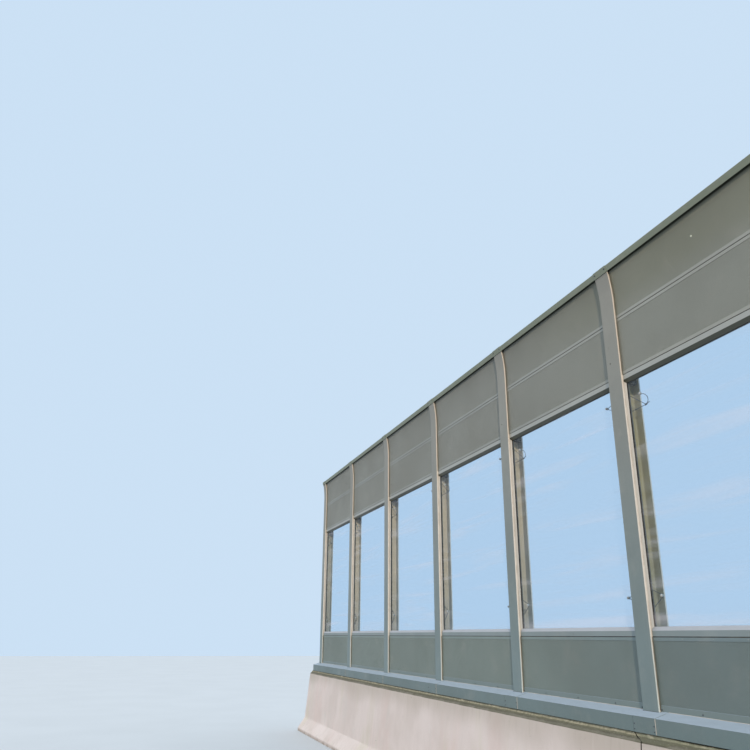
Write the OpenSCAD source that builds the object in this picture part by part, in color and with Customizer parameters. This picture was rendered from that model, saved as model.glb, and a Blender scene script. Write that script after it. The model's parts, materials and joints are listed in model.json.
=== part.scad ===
// Highway noise barrier on a concrete crash parapet, one straight and level stretch.
// Millimetres. +X runs along the barrier, -Y is the road side, +Z is up.
// The origin is the middle of the parapet's underside.

/* [Stretch] */
// number of bays between posts
bays = 6; // [2:1:8]
// distance between the centres of two posts
post_pitch = 2000; // [1500:50:3000]
// how far the parapet runs on past the last post's centre
end_overrun = 200; // [175:5:400]

/* [Posts] */
// width of the post's flanges, along the barrier
post_width = 175; // [150:5:250]
// depth of the post, from the road-side face to the back
post_depth = 175; // [150:5:250]
// thickness of the flanges
flange = 11; // [8:0.5:16]
// thickness of the web
web = 7.5; // [6:0.5:12]
// fillet between web and flange
root_radius = 13; // [0:1:20]
// road-side face of the posts, from the middle of the parapet
post_front = 21; // [0:1:60]
// radius of the lean over the road, at the road-side face
bend_radius = 1600; // [800:50:4000]
// length of the curved part, at the road-side face
bend_length = 350; // [200:5:500]

/* [Post feet] */
// base plate, along the barrier
plate_length = 300; // [240:5:340]
// base plate, across the parapet
plate_width = 320; // [260:5:420]
// thickness of the base plate
plate_thickness = 20; // [12:1:30]
// thickness of the stiffeners between the flanges and the base plate
stiffener_thickness = 10; // [6:1:16]
// height of the stiffeners
stiffener_height = 90; // [40:5:110]
// distance of the stiffeners from the flange's edges
stiffener_inset = 30; // [10:1:50]
// distance of the stiffeners from the base plate's edges
stiffener_setback = 12; // [5:1:20]
// square end of the stiffeners, at their tip and at their top
stiffener_nose = 15; // [5:1:25]
// diameter of the anchor bolts
bolt = 24; // [16:2:30]
// the bolt holes in the base plate are this much wider than the bolts
bolt_play = 4; // [2:0.5:6]
// distance of the bolts from the base plate's edges
bolt_edge = 35; // [30:1:50]
// length of a bolt in the concrete
bolt_embedment = 220; // [100:10:400]
// length of a bolt above the base plate
bolt_above = 40; // [35:1:60]
// diameter of the washers
washer = 44; // [40:1:60]
// thickness of the washers
washer_thickness = 4; // [2:0.5:6]
// width of the nuts over their corners
nut = 41; // [30:0.5:52]
// height of the nuts
nut_height = 20; // [12:0.5:28]

/* [Parapet] */
// height of the concrete parapet
parapet_height = 1025; // [700:5:1300]
// width of the parapet at the foot
parapet_base = 672; // [640:2:900]
// upright part at the foot of the road side
toe_height = 50; // [20:5:100]
// rise of the flare above it
flare_rise = 180; // [100:5:250]
// angle of the flare from the level
flare_angle = 55; // [45:1:70]
// angle of the upper face from the level
face_angle = 84; // [82:0.5:89]
// chamfer along the two top edges
parapet_chamfer = 17; // [5:1:40]
// bays between the expansion joint of the parapet and the near end
near_bays = 1; // [1:1:2]
// distance of the expansion joint from the nearest post's centre
joint_offset = 50; // [40:5:80]
// width of the expansion joint
joint_width = 16; // [6:1:30]
// the board in the expansion joint stands this far behind the faces
joint_board_setback = 12; // [0:1:40]
// thickness of the levelling mortar
mortar = 20; // [10:1:50]
// the mortar stops this far behind the edges of the parapet's top
mortar_setback = 26; // [10:1:40]

/* [Panels] */
// height of one row of metal panels
metal_row = 500; // [400:10:600]
// height of the clear row
clear_row = 2040; // [1500:10:2500]
// length of the top row below the bend
top_straight = 142; // [60:1:300]
// depth of the metal panels
panel_depth = 85; // [60:1:100]
// the panels stand this far behind the posts' road-side face
panel_recess = 24; // [18:1:35]
// gap between a panel's end and the middle of the post
panel_end_gap = 18.5; // [17:0.5:30]
// height of the joint strips between two rows
row_joint = 6; // [4:1:12]
// the joint strips stay this far behind the panels' faces
row_joint_setback = 4; // [1:0.5:10]
// plain border above and below the perforated sheet
border = 25; // [15:1:50]
// plain border at the panel's ends, behind the flanges
end_border = 48; // [30:1:60]
// the perforated sheet lies this far behind the borders
sheet_recess = 2; // [1:0.5:4]
// thickness of the perforated sheet
sheet = 3; // [1:0.5:4]
// thickness of the panel's case
case_wall = 4; // [2:0.5:8]
// thickness of the mineral wool behind the sheet
wool = 50; // [30:5:70]

/* [Carrier] */
// height of the channel that carries the panels
carrier_height = 130; // [120:5:200]
// thickness of the channel
carrier_wall = 5; // [3:0.5:8]
// thickness of the rubber between the channel and the panels
carrier_rubber = 5; // [3:0.5:10]
// the rubber under and on the channel stays this far behind its faces
carrier_rubber_setback = 10; // [2:1:20]

/* [Clear panels] */
// flat face of the frame bars
bar_face = 40; // [25:1:60]
// width of the bevel between the face and the clear sheet
bar_bevel = 28; // [25:1:40]
// depth of the bevel
bevel_depth = 22; // [12:1:24]
// depth of the frame bars
bar_depth = 46; // [44:1:60]
// thickness of the clear sheet
clear_sheet = 10; // [8:1:12]
// thickness of the rubber on each side of the clear sheet
glazing_rubber = 4; // [2:0.5:4.5]
// how far the clear sheet goes into the frame
glazing_bite = 20; // [10:1:25]

/* [Seals and packing] */
// width of the rubber between the flanges and the panels
seal_width = 30; // [15:1:40]
// distance of that rubber from the flange's edge
seal_inset = 6; // [2:1:15]
// width of the packing between the panels and the back flanges
packing_width = 40; // [20:1:50]
// distance of the packing from the panel's end
packing_inset = 8; // [2:1:12]
// the packing stops this far from a metal panel's top and bottom
packing_end = 20; // [5:1:60]
// height of the packing blocks behind the frame's corners
packing_block = 60; // [30:5:100]

/* [Covers] */
// thickness of the folded sheet
cover_sheet = 2; // [1:0.5:4]
// height of the upstand against the panels
upstand = 40; // [20:1:60]
// reach of the road-side cover from the posts' face
cover_reach = 100; // [80:1:120]
// fall of the cover's top over its reach
cover_fall = 36; // [10:1:40]
// the cover hangs down to this far above the mortar
cover_gap = 17; // [5:1:40]
// fold at the cover's bottom edge
cover_return = 14; // [8:1:16]
// gap between two lengths of cover
cover_joint_gap = 2; // [1:0.5:6]
// the covers end this far past the end posts' base plates
cover_overhang = 10; // [5:1:20]
// length of the joint plates of the road-side cover
joint_plate = 245; // [150:5:300]
// the joint plates' middle is this far from the post's centre
joint_plate_shift = 45; // [0:5:60]
// reach of the back cover from the posts' back
back_reach = 90; // [80:1:110]

/* [Cap] */
// thickness of the cap's sheet
cap_sheet = 3; // [2:0.5:5]
// height of the cap's two sides
cap_side = 50; // [30:1:60]
// play between the cap's side and the curved face of the posts
cap_play = 1.2; // [1:0.1:3]
// gap between two lengths of cap
cap_gap = 3; // [1:0.5:10]
// the cap's joint pieces reach this far past the post's flange on each side
cap_joint_lap = 2; // [0:1:40]

/* [Safety ropes] */
// diameter of the wire rope
rope = 5; // [3:0.5:8]
// diameter of the ferrules where a slack rope's strands part
ferrule = 18; // [16:0.5:22]
// diameter of the plug in the clear sheet
plug = 14; // [10:1:20]
// diameter of the plug's heads
plug_head = 22; // [22:1:30]
// thickness of the plug's heads
plug_head_thickness = 5; // [3:0.5:8]
// distance of the upper plugs from the post's centre
upper_plug_x = 225; // [180:5:300]
// distance of the lower plugs from the post's centre
lower_plug_x = 200; // [180:5:300]
// distance of the upper plugs below the frame's top
upper_plug_drop = 200; // [160:5:400]
// distance of the lower plugs above the frame's bottom
lower_plug_rise = 284; // [200:5:400]
// diameter of the eyes on the post's web
eye = 18; // [12:1:24]
// length of the eyes
eye_length = 12; // [8:1:20]
// distance of the eyes behind the frame bars
eye_setback = 30; // [20:1:40]
// height of the upper eye above the plug
eye_rise = 62; // [30:1:80]
// depth of the lower eye below the plug
eye_drop = 96; // [40:1:120]

/* [Hidden] */
$fn = 0;
$fa = 6;
$fs = 0.5;
// overshoot of a cut past the face that it opens
nudge = 1;
// clearance between pieces that meet on a curve or slide together
fit = 0.3;
// clearance of the covers round the posts
cut_gap = 0.5;

// heights
mortar_top = parapet_height + mortar;
plate_top = mortar_top + plate_thickness;
carrier_top = plate_top + carrier_height;
panel_bottom = carrier_top + carrier_rubber;
row1_top = panel_bottom + metal_row;
frame_bottom = row1_top + row_joint;
frame_top = frame_bottom + clear_row;
row2_bottom = frame_top + row_joint;
row2_top = row2_bottom + metal_row;
row3_bottom = row2_top + row_joint;
bend_start = row3_bottom + top_straight;
path_top = bend_start + bend_length;
row3_top = path_top - row_joint;
cover_top = panel_bottom + upstand;
cover_edge = panel_bottom - cover_fall;
cover_bottom = mortar_top + cover_gap;

// lengths along the barrier
half = bays * post_pitch / 2;
run_end = half + end_overrun;
panel_length = post_pitch - 2 * panel_end_gap;
joint_x = half - near_bays * post_pitch + joint_offset;
cover_end = half + plate_length / 2 + cover_overhang;

// depths from the middle of the parapet
post_back = post_front + post_depth;
panel_front = post_front + panel_recess;
panel_back = panel_front + panel_depth;

// road-side and far edge of the parapet's level top
upper_rise = parapet_height - parapet_chamfer - toe_height - flare_rise;
top_front = -parapet_base / 2 + flare_rise / tan(flare_angle) + upper_rise / tan(face_angle) + parapet_chamfer;
top_back = parapet_base / 2 - parapet_chamfer;

// section of the clear panels' frame
frame_width = bar_face + bar_bevel;
glass_front = bevel_depth + glazing_rubber;
glass_back = glass_front + clear_sheet;
groove = clear_sheet + 2 * glazing_rubber;
groove_bottom = frame_width - glazing_bite;

function post_x(i) = (i - bays / 2) * post_pitch;
function bay_x(i) = (i - bays / 2 + 0.5) * post_pitch;

// angle reached on the posts' curve at a length s up the post
function lean(s) = (max(s, bend_start) - bend_start) / bend_radius * 180 / PI;

// a path moved t to its left, with mitred bends
function unit(v) = v / norm(v);
function left_of(v) = [-v[1], v[0]];
function before(p, i) = left_of(unit(p[max(i, 1)] - p[max(i, 1) - 1]));
function after(p, i) = left_of(unit(p[min(i, len(p) - 2) + 1] - p[min(i, len(p) - 2)]));
function shifted(p, i, t) = p[i] + t * (before(p, i) + after(p, i)) / (1 + before(p, i) * after(p, i));
function shifted_path(p, t) = [for (i = [0 : len(p) - 1]) shifted(p, i, t)];
function reversed(p) = [for (i = [len(p) - 1 : -1 : 0]) p[i]];

// a closed outline that runs anticlockwise, drawn in by t all round
function ring(p) = concat([p[len(p) - 1]], p, [p[0]]);
function inset(p, t) = [for (i = [1 : len(p)]) shifted(ring(p), i, t)];

// outline of a folded sheet of thickness t, on the left of a path
module folded(path, t) {
    polygon(concat(path, reversed(shifted_path(path, t))));
}

// a section drawn in Y and Z, run along X
module along_x(x0, x1) {
    translate([x0, 0, 0])
        rotate([90, 0, 90])
            linear_extrude(x1 - x0)
                children();
}

// axes at the top end of the posts: Y is the depth, Z points on up the post
module at_top() {
    translate([0, post_front - bend_radius, bend_start])
        rotate([lean(path_top), 0, 0])
            translate([0, bend_radius, 0])
                children();
}

// a section (depth, width) run up the post's line from length s0 to s1
module along_post(s0, s1) {
    if (s0 < bend_start)
        translate([0, post_front, s0])
            rotate([0, 0, 90])
                linear_extrude(min(s1, bend_start) - s0)
                    children();
    if (s1 > bend_start)
        translate([0, post_front - bend_radius, bend_start])
            rotate([90, 0, 90])
                rotate([0, 0, lean(s0)])
                    rotate_extrude(angle = lean(s1) - lean(s0))
                        translate([bend_radius, 0])
                            children();
}

// a rectangle from depth d0 to d1 behind the posts' face, w wide along the barrier
module section(d0, d1, w) {
    translate([d0, -w / 2])
        square([d1 - d0, w]);
}

module in_bays() {
    for (i = [0 : bays - 1])
        translate([bay_x(i), 0, 0])
            children();
}

module at_posts() {
    for (i = [0 : bays])
        translate([post_x(i), 0, 0])
            children();
}

// Concrete

function parapet_outline() = [
    [-parapet_base / 2, 0],
    [parapet_base / 2, 0],
    [parapet_base / 2, parapet_height - parapet_chamfer],
    [top_back, parapet_height],
    [top_front, parapet_height],
    [top_front - parapet_chamfer, parapet_height - parapet_chamfer],
    [-parapet_base / 2 + flare_rise / tan(flare_angle), toe_height + flare_rise],
    [-parapet_base / 2, toe_height]
];

module bolt_places() {
    at_posts()
        for (sx = [-1, 1])
            for (sy = [-1, 1])
                translate([
                    sx * (plate_length / 2 - bolt_edge),
                    post_front + post_depth / 2 + sy * (plate_width / 2 - bolt_edge),
                    0
                ])
                    children();
}

module bolt_sockets() {
    bolt_places()
        translate([0, 0, parapet_height - bolt_embedment])
            cylinder(h = bolt_embedment + mortar + nudge, d = bolt);
}

module parapet_far() {
    color("#cfc7c1")
    difference() {
        along_x(-run_end, joint_x - joint_width / 2)
            polygon(parapet_outline());
        bolt_sockets();
    }
}

module parapet_near() {
    color("#cfc7c1")
    difference() {
        along_x(joint_x + joint_width / 2, run_end)
            polygon(parapet_outline());
        bolt_sockets();
    }
}

// board left in the expansion joint, a little behind the faces
module joint_board() {
    color("#3b3a36")
    along_x(joint_x - joint_width / 2, joint_x + joint_width / 2)
        polygon(inset(parapet_outline(), joint_board_setback));
}

module mortar_run(x0, x1) {
    translate([x0, top_front + mortar_setback, parapet_height])
        cube([x1 - x0, top_back - top_front - 2 * mortar_setback, mortar]);
}

module levelling_mortar() {
    color("#a59a86")
    difference() {
        union() {
            mortar_run(-run_end, joint_x - joint_width / 2);
            mortar_run(joint_x + joint_width / 2, run_end);
        }
        bolt_sockets();
    }
}

// Posts

module h_section() {
    section(0, flange, post_width);
    section(post_depth - flange, post_depth, post_width);
    section(flange, post_depth - flange, web);
    for (side = [-1, 1]) {
        root_fillet(flange, 1, side);
        root_fillet(post_depth - flange, -1, side);
    }
}

// fillet on one side of the web, grown from a flange's inner face in the direction out
module root_fillet(face, out, side) {
    if (root_radius > 0)
        difference() {
            translate([face + min(out, 0) * root_radius, side * web / 2 + min(side, 0) * root_radius])
                square(root_radius);
            translate([face + out * root_radius, side * (web / 2 + root_radius)])
                circle(root_radius);
        }
}

module posts() {
    color("#7f8a83")
    difference() {
        at_posts() {
            along_post(plate_top, path_top)
                h_section();
            translate([-plate_length / 2, post_front + (post_depth - plate_width) / 2, mortar_top])
                cube([plate_length, plate_width, plate_thickness]);
            for (side = [-1, 1]) {
                stiffener(side, post_back, 1);
                stiffener(side, post_front, -1);
            }
        }
        bolt_places()
            translate([0, 0, mortar_top - nudge])
                cylinder(h = plate_thickness + 2 * nudge, d = bolt + bolt_play);
    }
}

// upright plate from a flange's outer face towards the base plate's edge
module stiffener(side, face, out) {
    reach = (plate_width - post_depth) / 2 - stiffener_setback;
    x = side * (post_width / 2 - stiffener_inset - stiffener_thickness / 2);
    along_x(x - stiffener_thickness / 2, x + stiffener_thickness / 2)
        polygon([
            [face, plate_top],
            [face + out * reach, plate_top],
            [face + out * reach, plate_top + stiffener_nose],
            [face + out * stiffener_nose, plate_top + stiffener_height],
            [face, plate_top + stiffener_height]
        ]);
}

// bolt, washer and nut in one
module anchor_bolts() {
    color("#9aa0a0")
    bolt_places() {
        translate([0, 0, parapet_height - bolt_embedment])
            cylinder(h = bolt_embedment + mortar + plate_thickness + bolt_above, d = bolt);
        translate([0, 0, plate_top])
            cylinder(h = washer_thickness, d = washer);
        translate([0, 0, plate_top + washer_thickness])
            cylinder(h = nut_height, d = nut, $fn = 6);
    }
}

// Metal panels

// channel that carries the panels from one base plate to the next, open at the back
module bottom_rails() {
    color("#8b918f")
    in_bays()
        difference() {
            translate([-panel_length / 2, panel_front, plate_top])
                cube([panel_length, panel_depth, carrier_height]);
            translate([-panel_length / 2 - nudge, panel_front + carrier_wall, plate_top + carrier_wall])
                cube([panel_length + 2 * nudge, panel_depth, carrier_height - 2 * carrier_wall]);
        }
}

// rubber that closes the gap between the channel and the mortar, and the one that the panels rest on
module bottom_seals() {
    color("#26282a")
    in_bays() {
        bottom_seal(post_pitch - plate_length, mortar_top, plate_thickness);
        bottom_seal(panel_length, carrier_top, carrier_rubber);
    }
}

module bottom_seal(length, z, height) {
    translate([-length / 2, panel_front + carrier_rubber_setback, z])
        cube([length, panel_depth - 2 * carrier_rubber_setback, height]);
}

// case of a metal panel: a tray open to the road, with plain borders
module panel_case(s0, s1) {
    sheet_back = panel_recess + sheet_recess + sheet;
    in_bays()
        difference() {
            along_post(s0, s1)
                section(panel_recess, panel_recess + panel_depth, panel_length);
            along_post(s0 + border, s1 - border)
                section(panel_recess - nudge, sheet_back, panel_length - 2 * end_border);
            along_post(s0 + case_wall, s1 - case_wall)
                section(sheet_back, panel_recess + panel_depth - case_wall, panel_length - 2 * case_wall);
        }
}

module panel_sheet(s0, s1) {
    front = panel_recess + sheet_recess;
    in_bays()
        along_post(s0 + border + fit, s1 - border - fit)
            section(front, front + sheet, panel_length - 2 * end_border - 2 * fit);
}

module panel_wool(s0, s1) {
    front = panel_recess + sheet_recess + sheet + fit;
    in_bays()
        along_post(s0 + case_wall + fit, s1 - case_wall - fit)
            section(front, front + wool, panel_length - 2 * case_wall - 2 * fit);
}

module lower_panel_cases() {
    color("#6f7a76")
    panel_case(panel_bottom, row1_top);
}

module lower_panel_sheets() {
    color("#646e6b")
    panel_sheet(panel_bottom, row1_top);
}

module lower_panel_wool() {
    color("#b9a95c")
    panel_wool(panel_bottom, row1_top);
}

module upper_panel_cases() {
    color("#80807a")
    panel_case(row2_bottom, row2_top);
}

module upper_panel_sheets() {
    color("#73736d")
    panel_sheet(row2_bottom, row2_top);
}

module upper_panel_wool() {
    color("#b9a95c")
    panel_wool(row2_bottom, row2_top);
}

module top_panel_cases() {
    color("#80807a")
    panel_case(row3_bottom, row3_top);
}

module top_panel_sheets() {
    color("#73736d")
    panel_sheet(row3_bottom, row3_top);
}

module top_panel_wool() {
    color("#b9a95c")
    panel_wool(row3_bottom, row3_top);
}

// Clear panels

// one mitred bar of the frame, inner edge up, centred on its length
module frame_bar(length) {
    intersection() {
        along_x(-length / 2, length / 2)
            difference() {
                polygon([
                    [0, 0],
                    [bar_depth, 0],
                    [bar_depth, frame_width],
                    [bevel_depth, frame_width],
                    [0, bar_face]
                ]);
                translate([bevel_depth, groove_bottom])
                    square([groove, glazing_bite + nudge]);
            }
        translate([0, bar_depth, 0])
            rotate([90, 0, 0])
                linear_extrude(bar_depth)
                    polygon([
                        [-length / 2, 0],
                        [length / 2, 0],
                        [length / 2 - frame_width, frame_width],
                        [-length / 2 + frame_width, frame_width]
                    ]);
    }
}

// the frame's own axes: origin in the middle of the clear row, at the frame's face
module in_frames() {
    in_bays()
        translate([0, panel_front, frame_bottom + clear_row / 2])
            children();
}

module frame_sills() {
    color("#7c8683")
    in_frames()
        translate([0, 0, -clear_row / 2])
            frame_bar(panel_length);
}

module frame_heads() {
    color("#7c8683")
    in_frames()
        rotate([0, 180, 0])
            translate([0, 0, -clear_row / 2])
                frame_bar(panel_length);
}

module frame_stiles() {
    color("#7c8683")
    in_frames()
        for (turn = [90, 270])
            rotate([0, turn, 0])
                translate([0, 0, -panel_length / 2])
                    frame_bar(clear_row);
}

module clear_sheets() {
    length = panel_length - 2 * groove_bottom;
    height = clear_row - 2 * groove_bottom;
    color("#bcd3e2", 0.35)
    in_frames()
        difference() {
            translate([-length / 2, glass_front, -height / 2])
                cube([length, clear_sheet, height]);
            plug_places()
                rotate([-90, 0, 0])
                    cylinder(h = bar_depth, d = plug);
        }
}

// rubber strips before and behind the clear sheet, four to a side
module glazing_rubbers() {
    color("#1d1f20")
    in_frames()
        for (depth = [bevel_depth, glass_back])
            translate([0, depth, 0]) {
                rubber_pair(panel_length, clear_row, 0);
                rotate([0, 90, 0])
                    rubber_pair(clear_row, panel_length, glazing_bite + fit);
            }
}

// two strips along the frame's length, each shortened by back_off at its ends
module rubber_pair(length, across, back_off) {
    strip = length - 2 * groove_bottom - 2 * back_off;
    for (z = [across / 2 - frame_width, -across / 2 + groove_bottom])
        translate([-strip / 2, 0, z])
            cube([strip, glazing_rubber, glazing_bite]);
}

// Safety ropes

// corners of a clear sheet: side along the barrier, distance from the post's centre, height
corners = [
    for (side = [-1, 1])
        for (upper = [false, true])
            upper
                ? [side, upper_plug_x, clear_row / 2 - upper_plug_drop]
                : [side, lower_plug_x, -clear_row / 2 + lower_plug_rise]
];
eye_depth = bar_depth + eye_setback;
rope_start = glass_back + plug_head_thickness + rope / 2 + fit;
// how far a rope's end goes into its eye, measured from the web
rope_end = eye_length * 2 / 3;
// ropes end this far from the middle of the ferrule
rope_in_ferrule = ferrule * 0.4;

// a point u from the post's centre and v behind the frame's face, z from the middle of the clear row
function by_post(side, u, v, z) = [side * (post_pitch / 2 - u), v, z];

module plug_places() {
    for (c = corners)
        translate(by_post(c[0], c[1], 0, c[2]))
            children();
}

module rope_plugs() {
    color("#e6e6e2")
    in_frames()
        plug_places()
            rotate([-90, 0, 0]) {
                translate([0, 0, glass_front - plug_head_thickness])
                    cylinder(h = plug_head_thickness, d1 = plug, d2 = plug_head);
                translate([0, 0, glass_front])
                    cylinder(h = clear_sheet, d = plug);
                translate([0, 0, glass_back])
                    cylinder(h = plug_head_thickness, d = plug_head);
            }
}

module rod(a, b) {
    v = b - a;
    translate(a)
        rotate([0, acos(v[2] / norm(v)), atan2(v[1], v[0])])
            cylinder(h = norm(v), d = rope);
}

// a rope from a ferrule at f towards p
module rod_from(f, p) {
    rod(f + (p - f) * rope_in_ferrule / norm(p - f), p);
}

// where a slack rope's strands part: from the post's centre, behind the frame's face, above the plug
fork = [170, rope_start + 22, -97];
// the slack loop bulges this far from the straight line between plug and fork, in this direction
loop_bulge = 60;
loop_side = [0.85, 0.53, 0];
// spare end of the slack rope, at the fork
spare = [41, -2, 22];

// the upper ropes at a bay's left end hang slack
function is_slack(c) = c[0] < 0 && c[2] > 0;
function eye_point(c, rise) = by_post(c[0], web / 2 + rope_end, eye_depth, c[2] + rise);
function plug_point(c, rise) = by_post(c[0], c[1], rope_start, c[2] + rise);
function fork_point(c) = by_post(c[0], fork[0], fork[1], c[2] + fork[2]);

// rope bent to one arc from a to near b, which bulges towards a side
module arc(a, b, side) {
    half = norm(b - a) / 2;
    along = (b - a) / norm(b - a);
    across = side - along * (side * along);
    out = across / norm(across);
    radius = (half * half + loop_bulge * loop_bulge) / (2 * loop_bulge);
    off = loop_bulge - radius;
    x = (-half * along - off * out) / radius;
    y = (-off * along + half * out) / radius;
    z = cross(x, y);
    middle = (a + b) / 2 + off * out;
    sweep = 4 * atan(loop_bulge / half) - 2 * asin(rope_in_ferrule / 2 / radius);
    multmatrix([
        [x[0], y[0], z[0], middle[0]],
        [x[1], y[1], z[1], middle[1]],
        [x[2], y[2], z[2], middle[2]],
        [0, 0, 0, 1]
    ])
        rotate_extrude(angle = sweep)
            translate([radius, 0])
                circle(d = rope);
}

module corner_rope(c) {
    if (is_slack(c))
        slack_rope(c);
    else
        for (ends = [[rope, eye_rise], [-rope, -eye_drop]])
            rod(plug_point(c, ends[0]), eye_point(c, ends[1]));
}

module slack_rope(c) {
    f = fork_point(c);
    arc(plug_point(c, 0), f, [-c[0] * loop_side[0], loop_side[1], loop_side[2]]);
    translate(f)
        sphere(d = ferrule);
    rod_from(f, f + [-c[0] * spare[0], spare[1], spare[2]]);
    rod_from(f, eye_point(c, eye_rise));
    rod_from(f, eye_point(c, -eye_drop));
}

module safety_ropes() {
    color("#8d9494")
    in_frames()
        for (c = corners)
            corner_rope(c);
}

module rope_eyes() {
    color("#8d9494")
    in_frames()
        for (c = corners)
            for (rise = [eye_rise, -eye_drop])
                difference() {
                    translate(by_post(c[0], web / 2, eye_depth, c[2] + rise))
                        rotate([0, -c[0] * 90, 0])
                            cylinder(h = eye_length, d = eye);
                    corner_rope(c);
                }
}

// Seals and packing

module row_joints() {
    front = panel_recess + row_joint_setback;
    frame_back = panel_recess + bar_depth - row_joint_setback;
    case_back = panel_recess + panel_depth - row_joint_setback;
    color("#26282a")
    in_bays() {
        along_post(row1_top, frame_bottom)
            section(front, frame_back, panel_length);
        along_post(frame_top, row2_bottom)
            section(front, frame_back, panel_length);
        along_post(row2_top, row3_bottom)
            section(front, case_back, panel_length);
        along_post(row3_top + fit, path_top - fit)
            section(front, case_back, panel_length);
    }
}

// both ends of every bay, with the middle of a strip of width w that starts u from the post's centre
module at_bay_ends(u, w) {
    in_bays()
        for (side = [-1, 1])
            translate([side * (post_pitch / 2 - u - w / 2), 0, 0])
                children();
}

// rubber between the flange and the panels' ends, on both sides of each post
module post_seals() {
    color("#b5aa9b")
    at_bay_ends(post_width / 2 - seal_inset - seal_width, seal_width)
        along_post(panel_bottom, path_top - fit)
            section(flange + fit, panel_recess - fit, seal_width);
}

// packing from the back of a panel, back deep, to the rear flange
module packing_run(s0, s1, back) {
    at_bay_ends(panel_end_gap + packing_inset, packing_width)
        along_post(s0, s1)
            section(back + fit, post_depth - flange - fit, packing_width);
}

module packings() {
    case_back = panel_recess + panel_depth;
    frame_back = panel_recess + bar_depth;
    color("#3a3d3f") {
        packing_run(panel_bottom + packing_end, row1_top - packing_end, case_back);
        packing_run(frame_bottom, frame_bottom + packing_block, frame_back);
        packing_run(frame_top - packing_block, frame_top, frame_back);
        packing_run(row2_bottom + packing_end, row2_top - packing_end, case_back);
        packing_run(row3_bottom + packing_end, row3_top - packing_end, case_back);
    }
}

// Covers

// bends of the road-side cover, from the upstand's top to the bottom fold
cover_path = [
    [panel_front, cover_top],
    [panel_front, panel_bottom],
    [post_front - cover_reach, cover_edge],
    [post_front - cover_reach, cover_bottom],
    [post_front - cover_reach + cover_return, cover_bottom]
];

back_path = [
    [panel_back, cover_top],
    [panel_back, panel_bottom],
    [post_back + back_reach, cover_edge],
    [post_back + back_reach, cover_bottom],
    [post_back + back_reach - cover_return, cover_bottom]
];

// round the posts, where the covers are cut out
module post_boxes() {
    at_posts()
        translate([-post_width / 2 - cut_gap, post_front - cut_gap, plate_top])
            cube([post_width + 2 * cut_gap, post_depth + 2 * cut_gap, cover_top + nudge - plate_top]);
}

// outside the end posts, where no panel stands behind the upstand
module end_boxes() {
    for (side = [0, 1])
        mirror([side, 0, 0])
            translate([half, post_front - cut_gap, cover_edge])
                cube([cover_end + nudge - half, post_depth + 2 * cut_gap, cover_top + nudge - cover_edge]);
}

// joints of the cover, one beside each inner post
function cover_joint(i) = i == 0 ? -cover_end : i == bays ? cover_end : post_x(i) + joint_plate_shift;
function joint_gap(i) = i == 0 || i == bays ? 0 : cover_joint_gap / 2;

module cover_runs(path, t) {
    difference() {
        for (i = [0 : bays - 1])
            along_x(cover_joint(i) + joint_gap(i), cover_joint(i + 1) - joint_gap(i + 1))
                folded(path, t);
        post_boxes();
        end_boxes();
    }
}

module road_covers() {
    color("#7c8b93")
    cover_runs(cover_path, -cover_sheet);
}

module back_covers() {
    color("#7c8b93")
    cover_runs(back_path, cover_sheet);
}

// plates screwed over the joints of the road-side cover, cut off at the posts' face
module cover_joint_plates() {
    outside = [for (k = [1 : 3]) shifted(cover_path, k, -cover_sheet)];
    color("#8493a0")
    difference() {
        for (i = [1 : bays - 1])
            along_x(cover_joint(i) - joint_plate / 2, cover_joint(i) + joint_plate / 2)
                folded(outside, -cover_sheet);
        translate([-half, post_front - cut_gap, cover_edge])
            cube([2 * half, post_depth, cover_top - cover_edge]);
    }
}

// closes the space under the covers at each end of the barrier
module cover_ends() {
    color("#7c8b93")
    for (side = [0, 1])
        mirror([side, 0, 0])
            cover_end_plate();
}

// end wall, with a shelf that reaches back to the end post between the two covers
module cover_end_plate() {
    front = post_front - cover_reach;
    back = post_back + back_reach;
    slope = cover_fall / (cover_reach + panel_recess);
    shelf = panel_bottom - slope * (panel_recess + fit) + cover_sheet;
    shelf_start = half + post_width / 2 + fit;
    along_x(cover_end, cover_end + cover_sheet)
        polygon([
            [front, mortar_top],
            [back, mortar_top],
            [back, cover_edge],
            [post_back + cut_gap, shelf + cover_sheet],
            [post_front - cut_gap, shelf + cover_sheet],
            [front, cover_edge]
        ]);
    translate([shelf_start, post_front - cut_gap, shelf])
        cube([cover_end + cover_sheet - shelf_start, post_depth + 2 * cut_gap, cover_sheet]);
}

// Cap

// folded channel over the posts' and panels' top end, grown outwards by grow
module cap_channel(x0, x1, grow) {
    front = -cap_play - grow;
    back = post_depth + fit + grow;
    at_top()
        along_x(x0, x1)
            difference() {
                translate([front - cap_sheet, -cap_side - grow])
                    square([back - front + 2 * cap_sheet, cap_side + cap_sheet + 2 * grow]);
                translate([front, -cap_side - grow - nudge])
                    square([back - front, cap_side + nudge + 2 * grow]);
            }
}

module cap_rails() {
    color("#86877f")
    for (i = [0 : bays - 1])
        cap_channel(
            i == 0 ? -half - post_width / 2 : post_x(i) + cap_gap / 2,
            i == bays - 1 ? half + post_width / 2 : post_x(i + 1) - cap_gap / 2,
            0
        );
}

module cap_joints() {
    color("#8b8c84")
    for (i = [0 : bays])
        cap_channel(
            post_x(i) - post_width / 2 - cap_joint_lap,
            post_x(i) + post_width / 2 + cap_joint_lap,
            cap_sheet
        );
}

/* Output */

parapet_far();
parapet_near();
joint_board();
levelling_mortar();
posts();
anchor_bolts();
bottom_rails();
bottom_seals();
lower_panel_cases();
lower_panel_sheets();
lower_panel_wool();
frame_sills();
frame_heads();
frame_stiles();
clear_sheets();
glazing_rubbers();
rope_plugs();
safety_ropes();
rope_eyes();
upper_panel_cases();
upper_panel_sheets();
upper_panel_wool();
top_panel_cases();
top_panel_sheets();
top_panel_wool();
row_joints();
post_seals();
packings();
road_covers();
back_covers();
cover_joint_plates();
cover_ends();
cap_rails();
cap_joints();
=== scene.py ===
import json
import math
import random

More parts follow.
